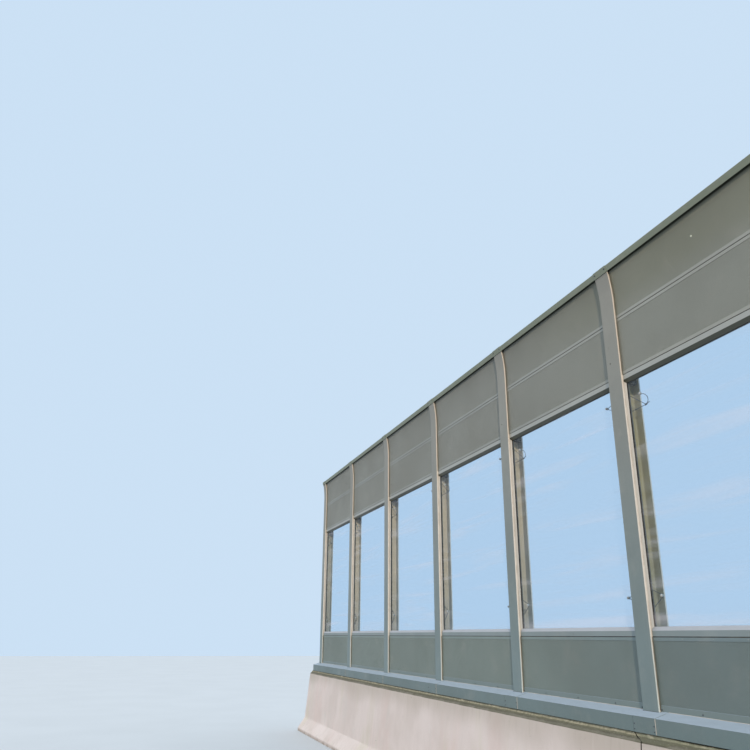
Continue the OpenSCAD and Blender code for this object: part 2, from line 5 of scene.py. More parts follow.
import bmesh
import bpy
from mathutils import Matrix, Vector, noise


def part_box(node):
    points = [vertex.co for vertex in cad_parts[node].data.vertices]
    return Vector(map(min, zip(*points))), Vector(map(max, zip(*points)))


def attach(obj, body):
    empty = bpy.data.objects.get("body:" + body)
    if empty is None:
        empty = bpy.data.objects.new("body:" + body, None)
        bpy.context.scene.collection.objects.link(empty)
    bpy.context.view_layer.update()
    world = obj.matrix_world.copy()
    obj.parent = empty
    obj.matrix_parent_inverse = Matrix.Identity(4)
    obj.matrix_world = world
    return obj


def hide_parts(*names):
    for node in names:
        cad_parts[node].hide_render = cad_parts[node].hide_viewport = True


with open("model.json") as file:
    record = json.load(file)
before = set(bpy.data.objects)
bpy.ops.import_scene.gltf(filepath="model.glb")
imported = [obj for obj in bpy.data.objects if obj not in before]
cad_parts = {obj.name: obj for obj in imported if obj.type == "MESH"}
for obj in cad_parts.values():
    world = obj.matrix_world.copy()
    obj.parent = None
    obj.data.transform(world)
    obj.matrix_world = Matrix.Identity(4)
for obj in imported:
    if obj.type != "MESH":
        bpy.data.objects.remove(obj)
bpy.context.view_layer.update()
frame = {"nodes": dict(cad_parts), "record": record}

# sizes read from the frame, in metres
PARAPET_END, PARAPET_BACK, PARAPET_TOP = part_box("parapet_near")[1]
JOINT_X = (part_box("parapet_far")[1].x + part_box("parapet_near")[0].x) / 2
_, PANEL_FRONT, PANEL_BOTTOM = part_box("lower_panel_cases")[0]
_, PANEL_BACK, ROW1_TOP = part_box("lower_panel_cases")[1]
CLEAR_BOTTOM, CLEAR_TOP = [corner.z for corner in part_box("frame_stiles")]
ROW2_BOTTOM, ROW2_TOP = [corner.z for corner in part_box("upper_panel_cases")]
ROW3_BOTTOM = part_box("top_panel_cases")[0].z
COVER_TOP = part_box("road_covers")[1].z

# sizes repeated from the construction model, in metres
BAYS = 6
PITCH = 2.0
HALF = BAYS * PITCH / 2
POST_WIDTH = 0.175
POST_DEPTH = 0.175
POST_FRONT = 0.021
FRONT_FLANGE = 0.0115
REAR_FLANGE = 0.1637
BEND_RADIUS = 1.6
BEND_START = 4.4
PATH_TOP = 4.75
ROW3_TOP = 4.744
COVER_EDGE = 1.164
COVER_FRONT = -0.079
COVER_BOTTOM = 1.062
POSTS = [i * PITCH - HALF for i in range(BAYS + 1)]
BAY_MIDDLES = [(i + 0.5) * PITCH - HALF for i in range(BAYS)]
ALONG = Vector((1, 0, 0))
TO_ROAD = Vector((0, -1, 0))
UP = Vector((0, 0, 1))


# placing


def on_path(x, s, d):
    """Point s up the posts' line and d behind their face, with the outward and the upward direction."""
    if s <= BEND_START:
        return Vector((x, POST_FRONT + d, s)), TO_ROAD, UP
    turn = (s - BEND_START) / BEND_RADIUS
    r = BEND_RADIUS + d
    y = POST_FRONT - BEND_RADIUS + r * math.cos(turn)
    z = BEND_START + r * math.sin(turn)
    out = Vector((0, -math.cos(turn), -math.sin(turn)))
    up = Vector((0, -math.sin(turn), math.cos(turn)))
    return Vector((x, y, z)), out, up


def facing(point, out, up):
    """Matrix that puts a piece's Z along out and its Y along up, at a point."""
    turn = Matrix((up.cross(out), up, out)).transposed().to_4x4()
    return Matrix.Translation(point) @ turn


def wave(*values):
    """Smooth noise from about -1 to 1 at a place."""
    return noise.noise(Vector((values + (0.0, 0.0))[:3]))


# colours


def srgb(r, g, b):
    """Linear colour of an 8-bit one."""

    def linear(c):
        c /= 255
        return c / 12.92 if c <= 0.04045 else ((c + 0.055) / 1.055) ** 2.4

    return (linear(r), linear(g), linear(b), 1)


class Nodes:
    """A tree of nodes that are added one at a time."""

    def __init__(self, owner):
        owner.use_nodes = True
        self.tree = owner.node_tree
        self.tree.nodes.clear()

    def add(self, kind, **settings):
        made = self.tree.nodes.new(kind)
        for key, value in settings.items():
            setattr(made, key, value)
        return made

    def join(self, source, target):
        self.tree.links.new(source, target)

    def feed(self, socket, value):
        if isinstance(value, bpy.types.NodeSocket):
            self.join(value, socket)
        else:
            socket.default_value = value

    def feed_all(self, sockets, values):
        for socket, value in zip(sockets, values):
            self.feed(socket, value)

    def fill(self, node, **values):
        """Sets or links a node's inputs by their names."""
        for key, value in values.items():
            self.feed(node.inputs[key.replace("_", " ")], value)

    def parts(self, vector):
        made = self.add("ShaderNodeSeparateXYZ")
        self.fill(made, Vector=vector)
        return made.outputs

    def math(self, operation, a, b=0.0):
        made = self.add("ShaderNodeMath", operation=operation)
        self.feed_all(made.inputs, (a, b))
        return made.outputs[0]

    def times(self, a, b):
        return self.math("MULTIPLY", a, b)

    def plus(self, a, b):
        return self.math("ADD", a, b)

    def minus(self, a, b):
        return self.math("SUBTRACT", a, b)

    def seen(self):
        """1 for rays from the camera, in a reflection or through a sheet, 0 for rays that bring light."""
        rays = self.add("ShaderNodeLightPath").outputs
        share = self.math("MAXIMUM", rays["Is Camera Ray"], rays["Is Transmission Ray"])
        return self.math("MAXIMUM", share, rays["Is Glossy Ray"])


class Shade(Nodes):
    """A material. Places are in metres, in the row's frame."""

    def __init__(self, name):
        self.name = name
        self.material = bpy.data.materials.new(name)
        super().__init__(self.material)
        self.out = self.add("ShaderNodeOutputMaterial")
        self.bsdf = self.add("ShaderNodeBsdfPrincipled")
        self.join(self.bsdf.outputs[0], self.out.inputs[0])
        self.place = self.add("ShaderNodeTexCoord").outputs["Object"]
        self.x, self.y, self.z = self.parts(self.place)
        normal = self.add("ShaderNodeNewGeometry").outputs["Normal"]
        self.nx, _, self.nz = self.parts(normal)

    def noise(self, scale, stretch=(1, 1, 1), detail=3.0, rough=0.5, warp=0.0, shift=0.0):
        """Soft noise from 0 to 1; stretch multiplies the places along each axis."""
        moved = self.add("ShaderNodeMapping")
        self.fill(moved, Vector=self.place, Scale=stretch, Location=(shift, shift * 0.7, shift * 1.3))
        made = self.add("ShaderNodeTexNoise")
        self.fill(made, Scale=scale, Detail=detail, Roughness=rough, Distortion=warp)
        self.fill(made, Vector=moved.outputs[0])
        return made.outputs["Fac"]

    def runs(self, across, down, detail=5, rough=0.6, shift=0.0):
        """Noise drawn out upright, as rain leaves its marks."""
        return self.noise(1.0, (across, across, down), detail, rough, shift=shift)

    def cells(self, scale, feature="F1"):
        """Distance from scattered points, of which there are about scale to a metre."""
        made = self.add("ShaderNodeTexVoronoi", feature=feature)
        self.fill(made, Vector=self.place, Scale=scale)
        return made.outputs["Distance"]

    def span(self, value, a, b, low=0.0, high=1.0):
        """Goes from low to high, smoothly, as value goes from a to b."""
        made = self.add("ShaderNodeMapRange", interpolation_type="SMOOTHSTEP")
        self.feed_all(made.inputs, (value, a, b, low, high))
        return made.outputs[0]

    def band(self, value, a, b, c, d):
        """Rises from 0 to 1 as value goes from a to b, and falls again as it goes from d to c."""
        return self.times(self.span(value, a, b), self.span(value, c, d))

    def mix(self, share, a, b):
        """Colour a, and b by a share from 0 to 1."""
        made = self.add("ShaderNodeMix", data_type="RGBA")
        self.feed_all((made.inputs["Factor"], made.inputs[6], made.inputs[7]), (share, a, b))
        return made.outputs[2]

    def veil(self, base, pattern, a, b, most, colour):
        """Lays colour over base as pattern goes from a to b, up to the share in most."""
        return self.mix(self.times(self.span(pattern, a, b), most), base, colour)

    def side_on(self, full=0.75, low=0.0, high=1.0):
        """high on faces that look along the barrier, low on the others."""
        return self.span(self.math("ABSOLUTE", self.nx), 0.5, full, low, high)

    def depth(self):
        """How far a place is behind the posts' face, also round their bend."""
        over = self.minus(self.z, BEND_START)
        back = self.plus(self.y, BEND_RADIUS - POST_FRONT)
        squares = self.plus(self.times(over, over), self.times(back, back))
        reach = self.math("SQRT", squares)
        bent = self.minus(reach, BEND_RADIUS)
        straight = self.minus(self.y, POST_FRONT)
        share = self.math("GREATER_THAN", self.z, BEND_START)
        more = self.times(share, self.minus(bent, straight))
        return self.plus(straight, more)

    def bump(self, height, depth, strength):
        """Adds relief: height from 0 to 1 stands for depth metres."""
        made = self.add("ShaderNodeBump")
        self.fill(made, Strength=strength, Distance=depth, Height=height)
        before = self.bsdf.inputs["Normal"]
        if before.is_linked:
            self.join(before.links[0].from_socket, made.inputs["Normal"])
        self.join(made.outputs[0], before)

    def set(self, **values):
        self.fill(self.bsdf, **values)


SHADE_LEVEL = 0.8
DUST = srgb(186, 180, 168)
# dark dirt of the runs, and the painted shade on faces that look down
GRIME_AND_SHADE = srgb(58, 60, 45)


def lit(r, g, b):
    """Colour of a surface that shows as this 8-bit colour in the shade."""
    return tuple(min(1.0, c / SHADE_LEVEL) for c in srgb(r, g, b)[:3]) + (1,)


def between_flanges(s, base, dust):
    """Dust inside the posts; beside the clear row painted light instead: brown-olive on the nearer posts,
    pale on the far.
    """
    share = s.band(s.depth(), FRONT_FLANGE, FRONT_FLANGE + 0.0015, POST_DEPTH - 0.003, POST_DEPTH - 0.005)
    share = s.times(share, s.span(s.z, 1.4, 2.8, 0.5, 1.0))
    share = s.times(share, s.span(s.noise(3.5, detail=5), 0.3, 0.6, 0.88, 1.0))
    near = s.span(s.x, 1.5, 3.9)
    share = s.times(share, s.math("MAXIMUM", near, s.side_on(low=0.45)))
    row = s.band(s.z, CLEAR_BOTTOM - 0.026, CLEAR_BOTTOM + 0.094, CLEAR_TOP + 0.034, CLEAR_TOP - 0.046)
    row = s.times(row, s.span(s.math("ABSOLUTE", s.x), HALF - 0.1, HALF - 0.3))
    # painted light beside the clear row: pale on the far posts against their shade, brown-olive on the
    # nearer ones
    clear_row_painted_light = s.mix(near, srgb(220, 190, 156), srgb(184, 161, 114))
    return s.mix(share, base, s.mix(row, dust, clear_row_painted_light))


def edge_highlights(s, base, colours, edge_depth, rear):
    """Painted highlight, in colours for low and high up, on the flanges' and frames' edges that look along
    the barrier.
    """
    reach = s.span(s.depth(), edge_depth, edge_depth - 0.0006)
    if rear:
        reach = s.math("MAXIMUM", reach, s.span(s.depth(), rear, rear + 0.0006))
    share = s.times(s.side_on(), reach)
    share = s.times(share, s.span(s.noise(7, detail=4), 0.3, 0.6, 0.88, 1.0))
    return s.mix(share, base, s.mix(s.span(s.z, 1.4, 2.0), *colours))


def paint(
    name, colour, top=None, rise=(1.3, 4.5), far=None, dust_and_sky_light=None, edges=None, edge_depth=0.0125,
    rear=None, behind=None, inner=None, lip=None, under=0.35, streaks=0.06, rough=0.5
):
    """Satin paint outdoors, clouded and finely speckled.

    top is the colour above the heights in rise, far the one of the far bays and lip the one of a cover's
    upstand. The colour for faces that look up is settled dust with a painted sky light on it. edges are
    the colours of a painted highlight on edges that look along the barrier, down to edge_depth behind
    the posts' face and from rear on, and behind is a painted shade on such faces further back. inner is
    the dust inside the posts, which beside the clear row gives way to painted light. under is how much
    painted shade darkens faces that look down.
    """
    s = Shade(name)
    clouds = s.noise(1.1, detail=5, rough=0.6)
    base = colour
    if top:
        base = s.mix(s.span(s.z, *rise), colour, top)
    if far:
        base = s.mix(s.span(s.x, 1.5, 5.0), far, base)
    base = s.mix(s.span(clouds, 0.3, 0.7, 0.0, 0.16), base, srgb(96, 98, 92))
    blotches = s.noise(4.6, detail=5, rough=0.65, shift=4.1)
    base = s.veil(base, blotches, 0.5, 0.75, 0.12, DUST)
    runs = s.runs(21, 0.7)
    base = s.veil(base, runs, 0.5, 0.8, streaks, DUST)
    dark_runs = s.runs(33, 0.6, detail=4, shift=7.3)
    base = s.veil(base, dark_runs, 0.55, 0.85, streaks, GRIME_AND_SHADE)
    base = s.veil(base, s.noise(150, detail=2), 0.5, 0.8, 0.12, DUST)
    if inner:
        base = between_flanges(s, base, inner)
    if lip:
        base = s.mix(s.span(s.z, PANEL_BOTTOM - 0.001, PANEL_BOTTOM + 0.001), base, lip)
    worn = s.noise(14, detail=5, rough=0.7)
    base = s.veil(base, worn, 0.66, 0.74, 0.35, srgb(104, 98, 86))
    # painted shade on faces that look down
    if under:
        base = s.veil(base, s.nz, -0.3, -0.6, under, GRIME_AND_SHADE)
    # settled dust, and a painted sky light, on faces that look up
    if dust_and_sky_light:
        dust_and_sky_patches = s.span(s.noise(7, stretch=(1, 3, 3), detail=5), 0.2, 0.6, 0.86, 1.0)
        base = s.mix(s.times(s.span(s.nz, 0.25, 0.7), dust_and_sky_patches), base, dust_and_sky_light)
    # painted highlight on edges that look along the barrier
    if edges:
        base = edge_highlights(s, base, edges, edge_depth, rear)
    # painted shade: faces further back than the edges, looking along the barrier, darkened brown
    if behind:
        back = s.times(s.side_on(high=0.85), s.span(s.depth(), edge_depth, edge_depth + 0.002))
        base = s.mix(back, base, behind)
    wear = s.plus(s.span(clouds, 0.3, 0.7, -0.04, 0.06), s.span(s.nz, 0.3, 0.9, 0.0, 0.2))
    s.set(Base_Color=base, Roughness=s.plus(wear, rough))
    s.bump(s.noise(420, detail=2), 0.0003, 0.2)
    s.bump(s.noise(2.2, detail=2), 0.003, 0.2)
    return s


HOLE_RADIUS = 0.0016
HOLE_PITCH = 0.0058
HOLE_ROWS = HOLE_PITCH * 1.732


def perforated(name, colour, **more):
    """A painted sheet with fine holes in staggered rows, which follow the sheet round its bend."""
    s = paint(name, colour, streaks=0.04, rough=0.56, under=0.0, **more)
    rise = s.minus(s.z, BEND_START)
    turn = s.math("ARCSINE", s.math("MINIMUM", s.math("DIVIDE", rise, BEND_RADIUS + 0.026), 0.9))
    bent = s.plus(s.times(turn, BEND_RADIUS), BEND_START)
    above = s.math("GREATER_THAN", s.z, BEND_START)
    along = s.plus(s.times(above, bent), s.times(s.minus(1.0, above), s.z))
    nearest = None
    for k in (0, 1):
        u = s.plus(s.math("DIVIDE", s.x, HOLE_PITCH), 0.5 * k)
        v = s.plus(s.math("DIVIDE", along, HOLE_ROWS), 0.5 * k)
        u = s.times(s.minus(s.math("FRACT", u), 0.5), HOLE_PITCH)
        v = s.times(s.minus(s.math("FRACT", v), 0.5), HOLE_ROWS)
        d = s.math("SQRT", s.plus(s.times(u, u), s.times(v, v)))
        nearest = d if nearest is None else s.math("MINIMUM", nearest, d)
    # the holes are painted near black, a painted shade for the shaded wool behind them
    open_here = s.span(nearest, HOLE_RADIUS * 0.8, HOLE_RADIUS * 1.15, 1.0, 0.0)
    solid = s.bsdf.inputs["Base Color"].links[0].from_socket
    # painted shade: the top strip of the top sheets, under the cap, darkened olive-black
    solid = s.mix(s.span(along, ROW3_TOP - 0.054, ROW3_TOP - 0.044, 0.0, 0.9), solid, srgb(30, 38, 24))
    s.set(Base_Color=s.mix(open_here, solid, srgb(30, 30, 25)))
    s.bump(s.minus(1.0, open_here), 0.001, 0.5)
    return s


def joint_side_shade(s, reach):
    """Share of painted shade on the faces of the joint's sides, which face along the barrier."""
    near = s.span(s.math("ABSOLUTE", s.minus(s.x, JOINT_X)), reach, reach * 0.9)
    return s.times(near, s.side_on(0.7))


def concrete():
    """Fair-faced concrete: pale and pinkish, soft tints and faint runs, and a top edge darkened olive as
    painted shade.
    """
    s = Shade("concrete")
    clouds = s.noise(1.7, detail=6, rough=0.6)
    base = s.mix(s.span(clouds, 0.32, 0.68), srgb(230, 216, 210), srgb(219, 205, 198))
    rosy = s.noise(0.8, stretch=(2.2, 2.2, 0.8), detail=5, rough=0.6)
    base = s.veil(base, rosy, 0.5, 0.72, 0.35, srgb(222, 194, 186))
    olive = s.noise(0.9, stretch=(2.6, 2.6, 0.7), detail=5, rough=0.6, shift=3.7)
    base = s.veil(base, olive, 0.52, 0.74, 0.3, srgb(206, 203, 168))
    cool = s.noise(1.3, stretch=(1.6, 1.6, 1), detail=5, rough=0.6, shift=9.1)
    base = s.veil(base, cool, 0.55, 0.76, 0.25, srgb(196, 204, 196))
    higher = s.plus(s.z, s.span(s.noise(0.9, detail=3), 0.3, 0.7, -0.07, 0.07))
    stained = s.times(s.span(higher, 0.72, 1.02), s.span(s.x, 2.4, 3.9, 0.6, 0.8))
    base = s.mix(stained, base, srgb(184, 172, 159))
    runs = s.runs(13, 0.8, detail=6, rough=0.62)
    base = s.veil(base, runs, 0.5, 0.75, 0.09, srgb(168, 156, 144))
    drips = s.runs(30, 1.6, shift=5.0)
    drips = s.times(s.span(drips, 0.52, 0.7), s.span(s.z, 0.8, 1.0, 0.0, 0.14))
    base = s.mix(drips, base, srgb(140, 128, 108))
    washed = s.runs(19, 1.1, shift=11.0)
    base = s.veil(base, washed, 0.56, 0.78, 0.16, srgb(240, 232, 228))
    # painted shade: the chamfered top edge olive, in patches, and darkest at the very top
    edge = s.plus(s.z, s.span(s.noise(5, detail=3), 0.3, 0.7, -0.001, 0.001))
    patchy = s.span(s.noise(5, detail=5, rough=0.6), 0.3, 0.62, 0.86, 1.0)
    base = s.veil(base, edge, PARAPET_TOP - 0.027, PARAPET_TOP - 0.022, patchy, srgb(98, 95, 75))
    dark = s.span(s.noise(13, detail=4, shift=2.0), 0.35, 0.6, 0.2, 0.85)
    base = s.veil(base, s.z, PARAPET_TOP - 0.013, PARAPET_TOP - 0.004, dark, srgb(82, 76, 58))
    foot = s.times(s.span(s.z, 0.06, 0.0), s.span(s.noise(11, detail=5), 0.3, 0.65, 0.3, 1.0))
    base = s.mix(s.times(foot, 0.7), base, srgb(128, 108, 86))
    splash = s.times(s.span(s.z, 0.34, 0.02), s.span(s.noise(6, detail=6, rough=0.7), 0.42, 0.7))
    base = s.mix(s.times(splash, 0.3), base, srgb(176, 160, 142))
    pores = s.span(s.cells(30), 0.06, 0.12, 1.0, 0.0)
    pores = s.times(pores, s.span(s.noise(3.1, detail=2, shift=2.0), 0.54, 0.64))
    base = s.mix(s.times(pores, 0.6), base, srgb(96, 86, 76))
    marks = s.span(s.cells(3.6), 0.018, 0.03, 1.0, 0.0)
    base = s.mix(s.times(marks, 0.8), base, srgb(70, 62, 56))
    sand = s.noise(240, detail=3)
    base = s.mix(s.span(sand, 0.3, 0.7, 0.0, 0.16), base, srgb(176, 166, 158))
    # painted shade on the joint's sides
    base = s.mix(joint_side_shade(s, 0.012), base, srgb(52, 47, 39))
    s.set(Base_Color=base, Roughness=s.span(clouds, 0.3, 0.7, 0.82, 0.94))
    s.bump(sand, 0.0008, 0.4)
    s.bump(s.noise(7, detail=6, rough=0.6), 0.003, 0.25)
    s.bump(s.minus(1.0, s.math("MAXIMUM", pores, marks)), 0.003, 0.6)
    return s


def mortar():
    """Hand-laid mortar: tan, with grit, a darker foot and painted shade along its top, smeared olive-grey
    past the joint.
    """
    s = Shade("mortar")
    lumps = s.noise(21, detail=5, rough=0.6)
    base = s.mix(s.span(lumps, 0.3, 0.7), srgb(130, 121, 96), srgb(171, 160, 136))
    olive = s.mix(s.span(lumps, 0.3, 0.7), srgb(112, 113, 89), srgb(144, 141, 117))
    base = s.mix(s.span(s.x, JOINT_X - 0.12, JOINT_X, 0.25, 0.85), base, olive)
    base = s.veil(base, s.noise(7, detail=5), 0.52, 0.7, 0.4, srgb(108, 102, 82))
    rise = s.span(s.noise(9, detail=4), 0.3, 0.7, -0.002 - PARAPET_TOP, 0.002 - PARAPET_TOP)
    rise = s.plus(s.z, rise)
    base = s.mix(s.span(rise, 0.0155, 0.01, 0.0, 0.88), base, srgb(95, 92, 73))
    # painted shade: the top of the bed, under the cover's lower edge, darkened
    base = s.mix(s.span(rise, 0.0215, 0.026, 0.0, 0.85), base, srgb(84, 84, 68))
    base = s.veil(base, s.noise(95, detail=3), 0.62, 0.72, 0.3, srgb(190, 182, 162))
    fresh = s.noise(1.0, stretch=(9, 9, 30), detail=5, rough=0.65, shift=6.0)
    fresh = s.times(s.span(fresh, 0.54, 0.68, 0.0, 0.55), s.span(rise, 0.0135, 0.0165))
    base = s.mix(fresh, base, srgb(188, 177, 154))
    # painted shade on the joint's sides
    base = s.mix(joint_side_shade(s, 0.2), base, srgb(50, 47, 36))
    s.set(Base_Color=base, Roughness=0.93)
    s.bump(lumps, 0.003, 0.5)
    s.bump(s.noise(210, detail=3), 0.0015, 0.6)
    return s


def rubber_relief(s):
    """Fine grain, and waves as strips of rubber have them."""
    s.bump(s.noise(260, detail=2), 0.0006, 0.4)
    s.bump(s.noise(1.0, stretch=(4, 4, 90), detail=2), 0.0012, 0.3)


def rubber():
    s = Shade("black_rubber")
    base = s.veil(srgb(40, 35, 29), s.noise(12, detail=5), 0.38, 0.7, 0.5, srgb(104, 95, 78))
    s.set(Base_Color=base, Roughness=s.span(s.noise(30, detail=3), 0.3, 0.7, 0.62, 0.85))
    rubber_relief(s)
    return s


def seal():
    """Weathered rubber, pale as painted light beside the clear row and at the foot, darker as painted shade
    elsewhere.
    """
    s = Shade("seal_rubber")
    # painted light where the seal shows pale, painted shade elsewhere
    sunlit_share = s.band(s.z, CLEAR_BOTTOM - 0.008, CLEAR_BOTTOM, CLEAR_TOP + 0.01, CLEAR_TOP)
    sunlit_share = s.math("MAXIMUM", sunlit_share, s.span(s.z, PANEL_BOTTOM + 0.01, PANEL_BOTTOM + 0.006))
    dirt = s.span(s.noise(12, detail=5), 0.34, 0.66)
    pale = s.mix(dirt, srgb(198, 190, 180), srgb(176, 166, 154))
    dark = s.mix(dirt, srgb(126, 120, 110), srgb(103, 97, 87))
    s.set(Base_Color=s.mix(sunlit_share, dark, pale), Roughness=s.span(dirt, 0, 1, 0.7, 0.85))
    rubber_relief(s)
    return s


def wool():
    """Yellow mineral wool with its fibres lying flat."""
    s = Shade("mineral_wool")
    fibres = s.noise(1.0, stretch=(60, 60, 420), detail=6, rough=0.7, warp=1.5)
    base = s.mix(fibres, srgb(150, 128, 66), srgb(214, 198, 136))
    s.set(Base_Color=base, Roughness=0.97)
    s.bump(fibres, 0.003, 0.8)
    return s


def galvanised():
    """Zinc with faint spangle and some rust coming through."""
    s = Shade("galvanised_steel")
    spangle = s.cells(55, feature="SMOOTH_F1")
    base = s.mix(s.span(spangle, 0.1, 0.6), srgb(150, 154, 155), srgb(184, 187, 188))
    rust = s.times(s.span(s.noise(9, detail=5, rough=0.65), 0.58, 0.72), 0.7)
    base = s.mix(rust, base, srgb(118, 74, 44))
    s.set(
        Base_Color=base,
        Metallic=s.minus(0.85, s.times(rust, 0.8)),
        Roughness=s.span(spangle, 0.1, 0.6, 0.38, 0.55),
    )
    s.bump(s.noise(180, detail=2), 0.0005, 0.3)
    return s


def steel():
    """Steel of screws and rope, dulled and stained."""
    s = Shade("wire_rope")
    stain = s.span(s.noise(70, detail=4), 0.4, 0.68)
    base = s.mix(s.times(stain, 0.55), srgb(68, 74, 84), srgb(62, 58, 52))
    s.set(Base_Color=base, Metallic=0.35, Roughness=s.span(stain, 0, 1, 0.5, 0.7))
    s.bump(s.noise(900, detail=2), 0.0002, 0.4)
    return s


def plastic():
    """Plastic of the plugs, dusty, and cleaner high up, where the stud is."""
    s = Shade("plug_plastic")
    dirt = s.span(s.noise(85, detail=4), 0.45, 0.7)
    base = s.mix(s.times(dirt, 0.5), srgb(172, 174, 170), srgb(112, 108, 98))
    base = s.mix(s.span(s.z, BEND_START - 0.2, BEND_START), base, srgb(240, 238, 216))
    s.set(Base_Color=base, Roughness=s.span(dirt, 0, 1, 0.38, 0.6), Subsurface_Weight=0.05)
    s.bump(s.noise(300, detail=2), 0.0003, 0.3)
    return s


def board():
    """Tarry fibre board in the joint."""
    s = Shade("joint_filler")
    fibres = s.noise(70, detail=5, rough=0.7)
    base = s.mix(fibres, srgb(26, 25, 22), srgb(66, 60, 50))
    s.set(Base_Color=base, Roughness=0.95)
    s.bump(fibres, 0.004, 0.8)
    return s


def clear():
    """Clear sheet: see-through with a faint cool tint, gloss, wiped dust and long faint scratches."""
    s = Shade("clear_sheet")
    through = s.add("ShaderNodeBsdfTransparent")
    through.inputs[0].default_value = (0.84, 0.908, 0.962, 1)
    both = s.add("ShaderNodeMixShader")
    wiped = s.noise(1.0, stretch=(0.45, 0.45, 7), detail=5, rough=0.55, warp=0.4)
    streaks = s.span(wiped, 0.46, 0.72)
    spots = s.span(s.noise(26, detail=5, rough=0.7), 0.55, 0.78)
    low_edge = s.span(s.z, CLEAR_BOTTOM + 0.294, CLEAR_BOTTOM + 0.054)
    haze = s.plus(0.05, s.times(streaks, 0.13))
    haze = s.plus(haze, s.times(spots, 0.03))
    haze = s.plus(haze, s.times(low_edge, 0.05))
    haze = s.times(haze, s.side_on(0.8, 1.0, 0.0))
    s.feed_all(both.inputs, (haze, through.outputs[0], s.bsdf.outputs[0]))
    s.join(both.outputs[0], s.out.inputs[0])
    base = s.mix(streaks, srgb(214, 224, 234), srgb(247, 240, 244))
    s.set(Base_Color=base, Roughness=s.span(streaks, 0, 1, 0.16, 0.4), IOR=1.49)
    s.bump(s.noise(3, detail=2), 0.002, 0.15)
    s.bump(wiped, 0.0004, 0.2)
    return s


SHADES = (
    concrete(),
    mortar(),
    board(),
    paint(
        "post_paint",
        lit(107, 121, 121),
        top=lit(133, 130, 121),
        dust_and_sky_light=lit(148, 154, 158),
        edges=(srgb(190, 200, 200), srgb(204, 197, 186)),
        rear=REAR_FLANGE,
        inner=srgb(190, 168, 138),
    ),
    galvanised(),
    rubber(),
    seal(),
    wool(),
    paint(
        "frame_paint",
        lit(120, 131, 132),
        top=lit(158, 158, 152),
        dust_and_sky_light=lit(158, 159, 163),
        edges=(srgb(228, 221, 214), srgb(228, 221, 214)),
        edge_depth=0.05,
        behind=srgb(92, 82, 64),
        under=0.9,
    ),
    clear(),
    plastic(),
    steel(),
    paint("lower_panel_paint", lit(104, 118, 120), far=lit(114, 127, 123), dust_and_sky_light=lit(150, 156, 158)),
    perforated("lower_perforated_sheet", lit(109, 122, 120), far=lit(120, 131, 124)),
    paint("upper_panel_paint", lit(143, 143, 135), far=lit(134, 135, 129), dust_and_sky_light=lit(160, 162, 160)),
    perforated(
        "upper_perforated_sheet",
        lit(138, 139, 129),
        top=lit(130, 130, 113),
        rise=(4.15, 4.5),
        far=lit(134, 134, 125),
    ),
    paint("cover_paint", lit(96, 111, 111), dust_and_sky_light=lit(147, 158, 168), lip=lit(106, 117, 115), streaks=0.05),
    paint("cap_paint", lit(116, 121, 103), dust_and_sky_light=lit(150, 152, 144)),
)
MATERIALS = {shade.name: shade.material for shade in SHADES}


def placed(name, data):
    """An object in the scene that holds data."""
    made = bpy.data.objects.new(name, data)
    bpy.context.scene.collection.objects.link(made)
    return made


def give(piece, slot):
    """Puts a slot's material on a piece or node."""
    piece.data.materials.clear()
    piece.data.materials.append(MATERIALS[slot])


for subpart in frame["record"]["subparts"]:
    give(frame["nodes"][subpart["node"]], subpart["material_slot"])


# new pieces


def new_piece(name, mesh, slot, replaced=None, crease=0.62):
    """Makes an object of a bmesh, gives it a slot's material and lets it ride with the barrier."""
    data = bpy.data.meshes.new(name)
    bmesh.ops.recalc_face_normals(mesh, faces=mesh.faces)
    for face in mesh.faces:
        face.smooth = True
    for edge in mesh.edges:
        if len(edge.link_faces) == 2 and edge.calc_face_angle(0) > crease:
            edge.smooth = False
    mesh.to_mesh(data)
    mesh.free()
    made = placed(name, data)
    give(made, slot)
    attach(made, "root")
    if replaced:
        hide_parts(replaced)


def turned(mesh, profile, matrix, steps=16, turn=0.0):
    """Adds a body turned from a profile of (radius, height) points that starts and ends on the axis."""
    rings = []
    for r, h in profile:
        if r == 0:
            rings.append([mesh.verts.new(matrix @ Vector((0, 0, h)))])
            continue
        ring = []
        for k in range(steps):
            a = turn + 2 * math.pi * k / steps
            ring.append(mesh.verts.new(matrix @ Vector((r * math.cos(a), r * math.sin(a), h))))
        rings.append(ring)
    for low, high in zip(rings, rings[1:]):
        for k in range(steps):
            around = ((low, k), (low, k + 1), (high, k + 1), (high, k))
            corners = [ring[at % len(ring)] for ring, at in around]
            mesh.faces.new(list(dict.fromkeys(corners)))


def loft(mesh, rings):
    """Joins rings of points, one after the other, to a skin that is closed at both ends."""
    made = [[mesh.verts.new(p) for p in ring] for ring in rings]
    count = len(made[0])
    for low, high in zip(made, made[1:]):
        for k in range(count):
            after = (k + 1) % count
            mesh.faces.new((low[k], low[after], high[after], high[k]))
    mesh.faces.new(made[0][::-1])
    mesh.faces.new(made[-1])


def aimed(point, direction):
    """Matrix at a point with its Z along a direction."""
    return Matrix.Translation(point) @ direction.to_track_quat("Z", "Y").to_matrix().to_4x4()


def held(t):
    """t, held between 0 and 1."""
    return min(1.0, max(0.0, t))


# concrete parapet

TOP_FRONT = -0.1112
CHAMFER = 0.017
TOE = 0.05
FLARE_RISE = 0.18
FLARE_RUN = FLARE_RISE / math.tan(math.radians(55))
CRACK = 0.014
CRACK_SLANT = 0.13
CRACK_TURN = -0.126
RING_STEP = 0.0135

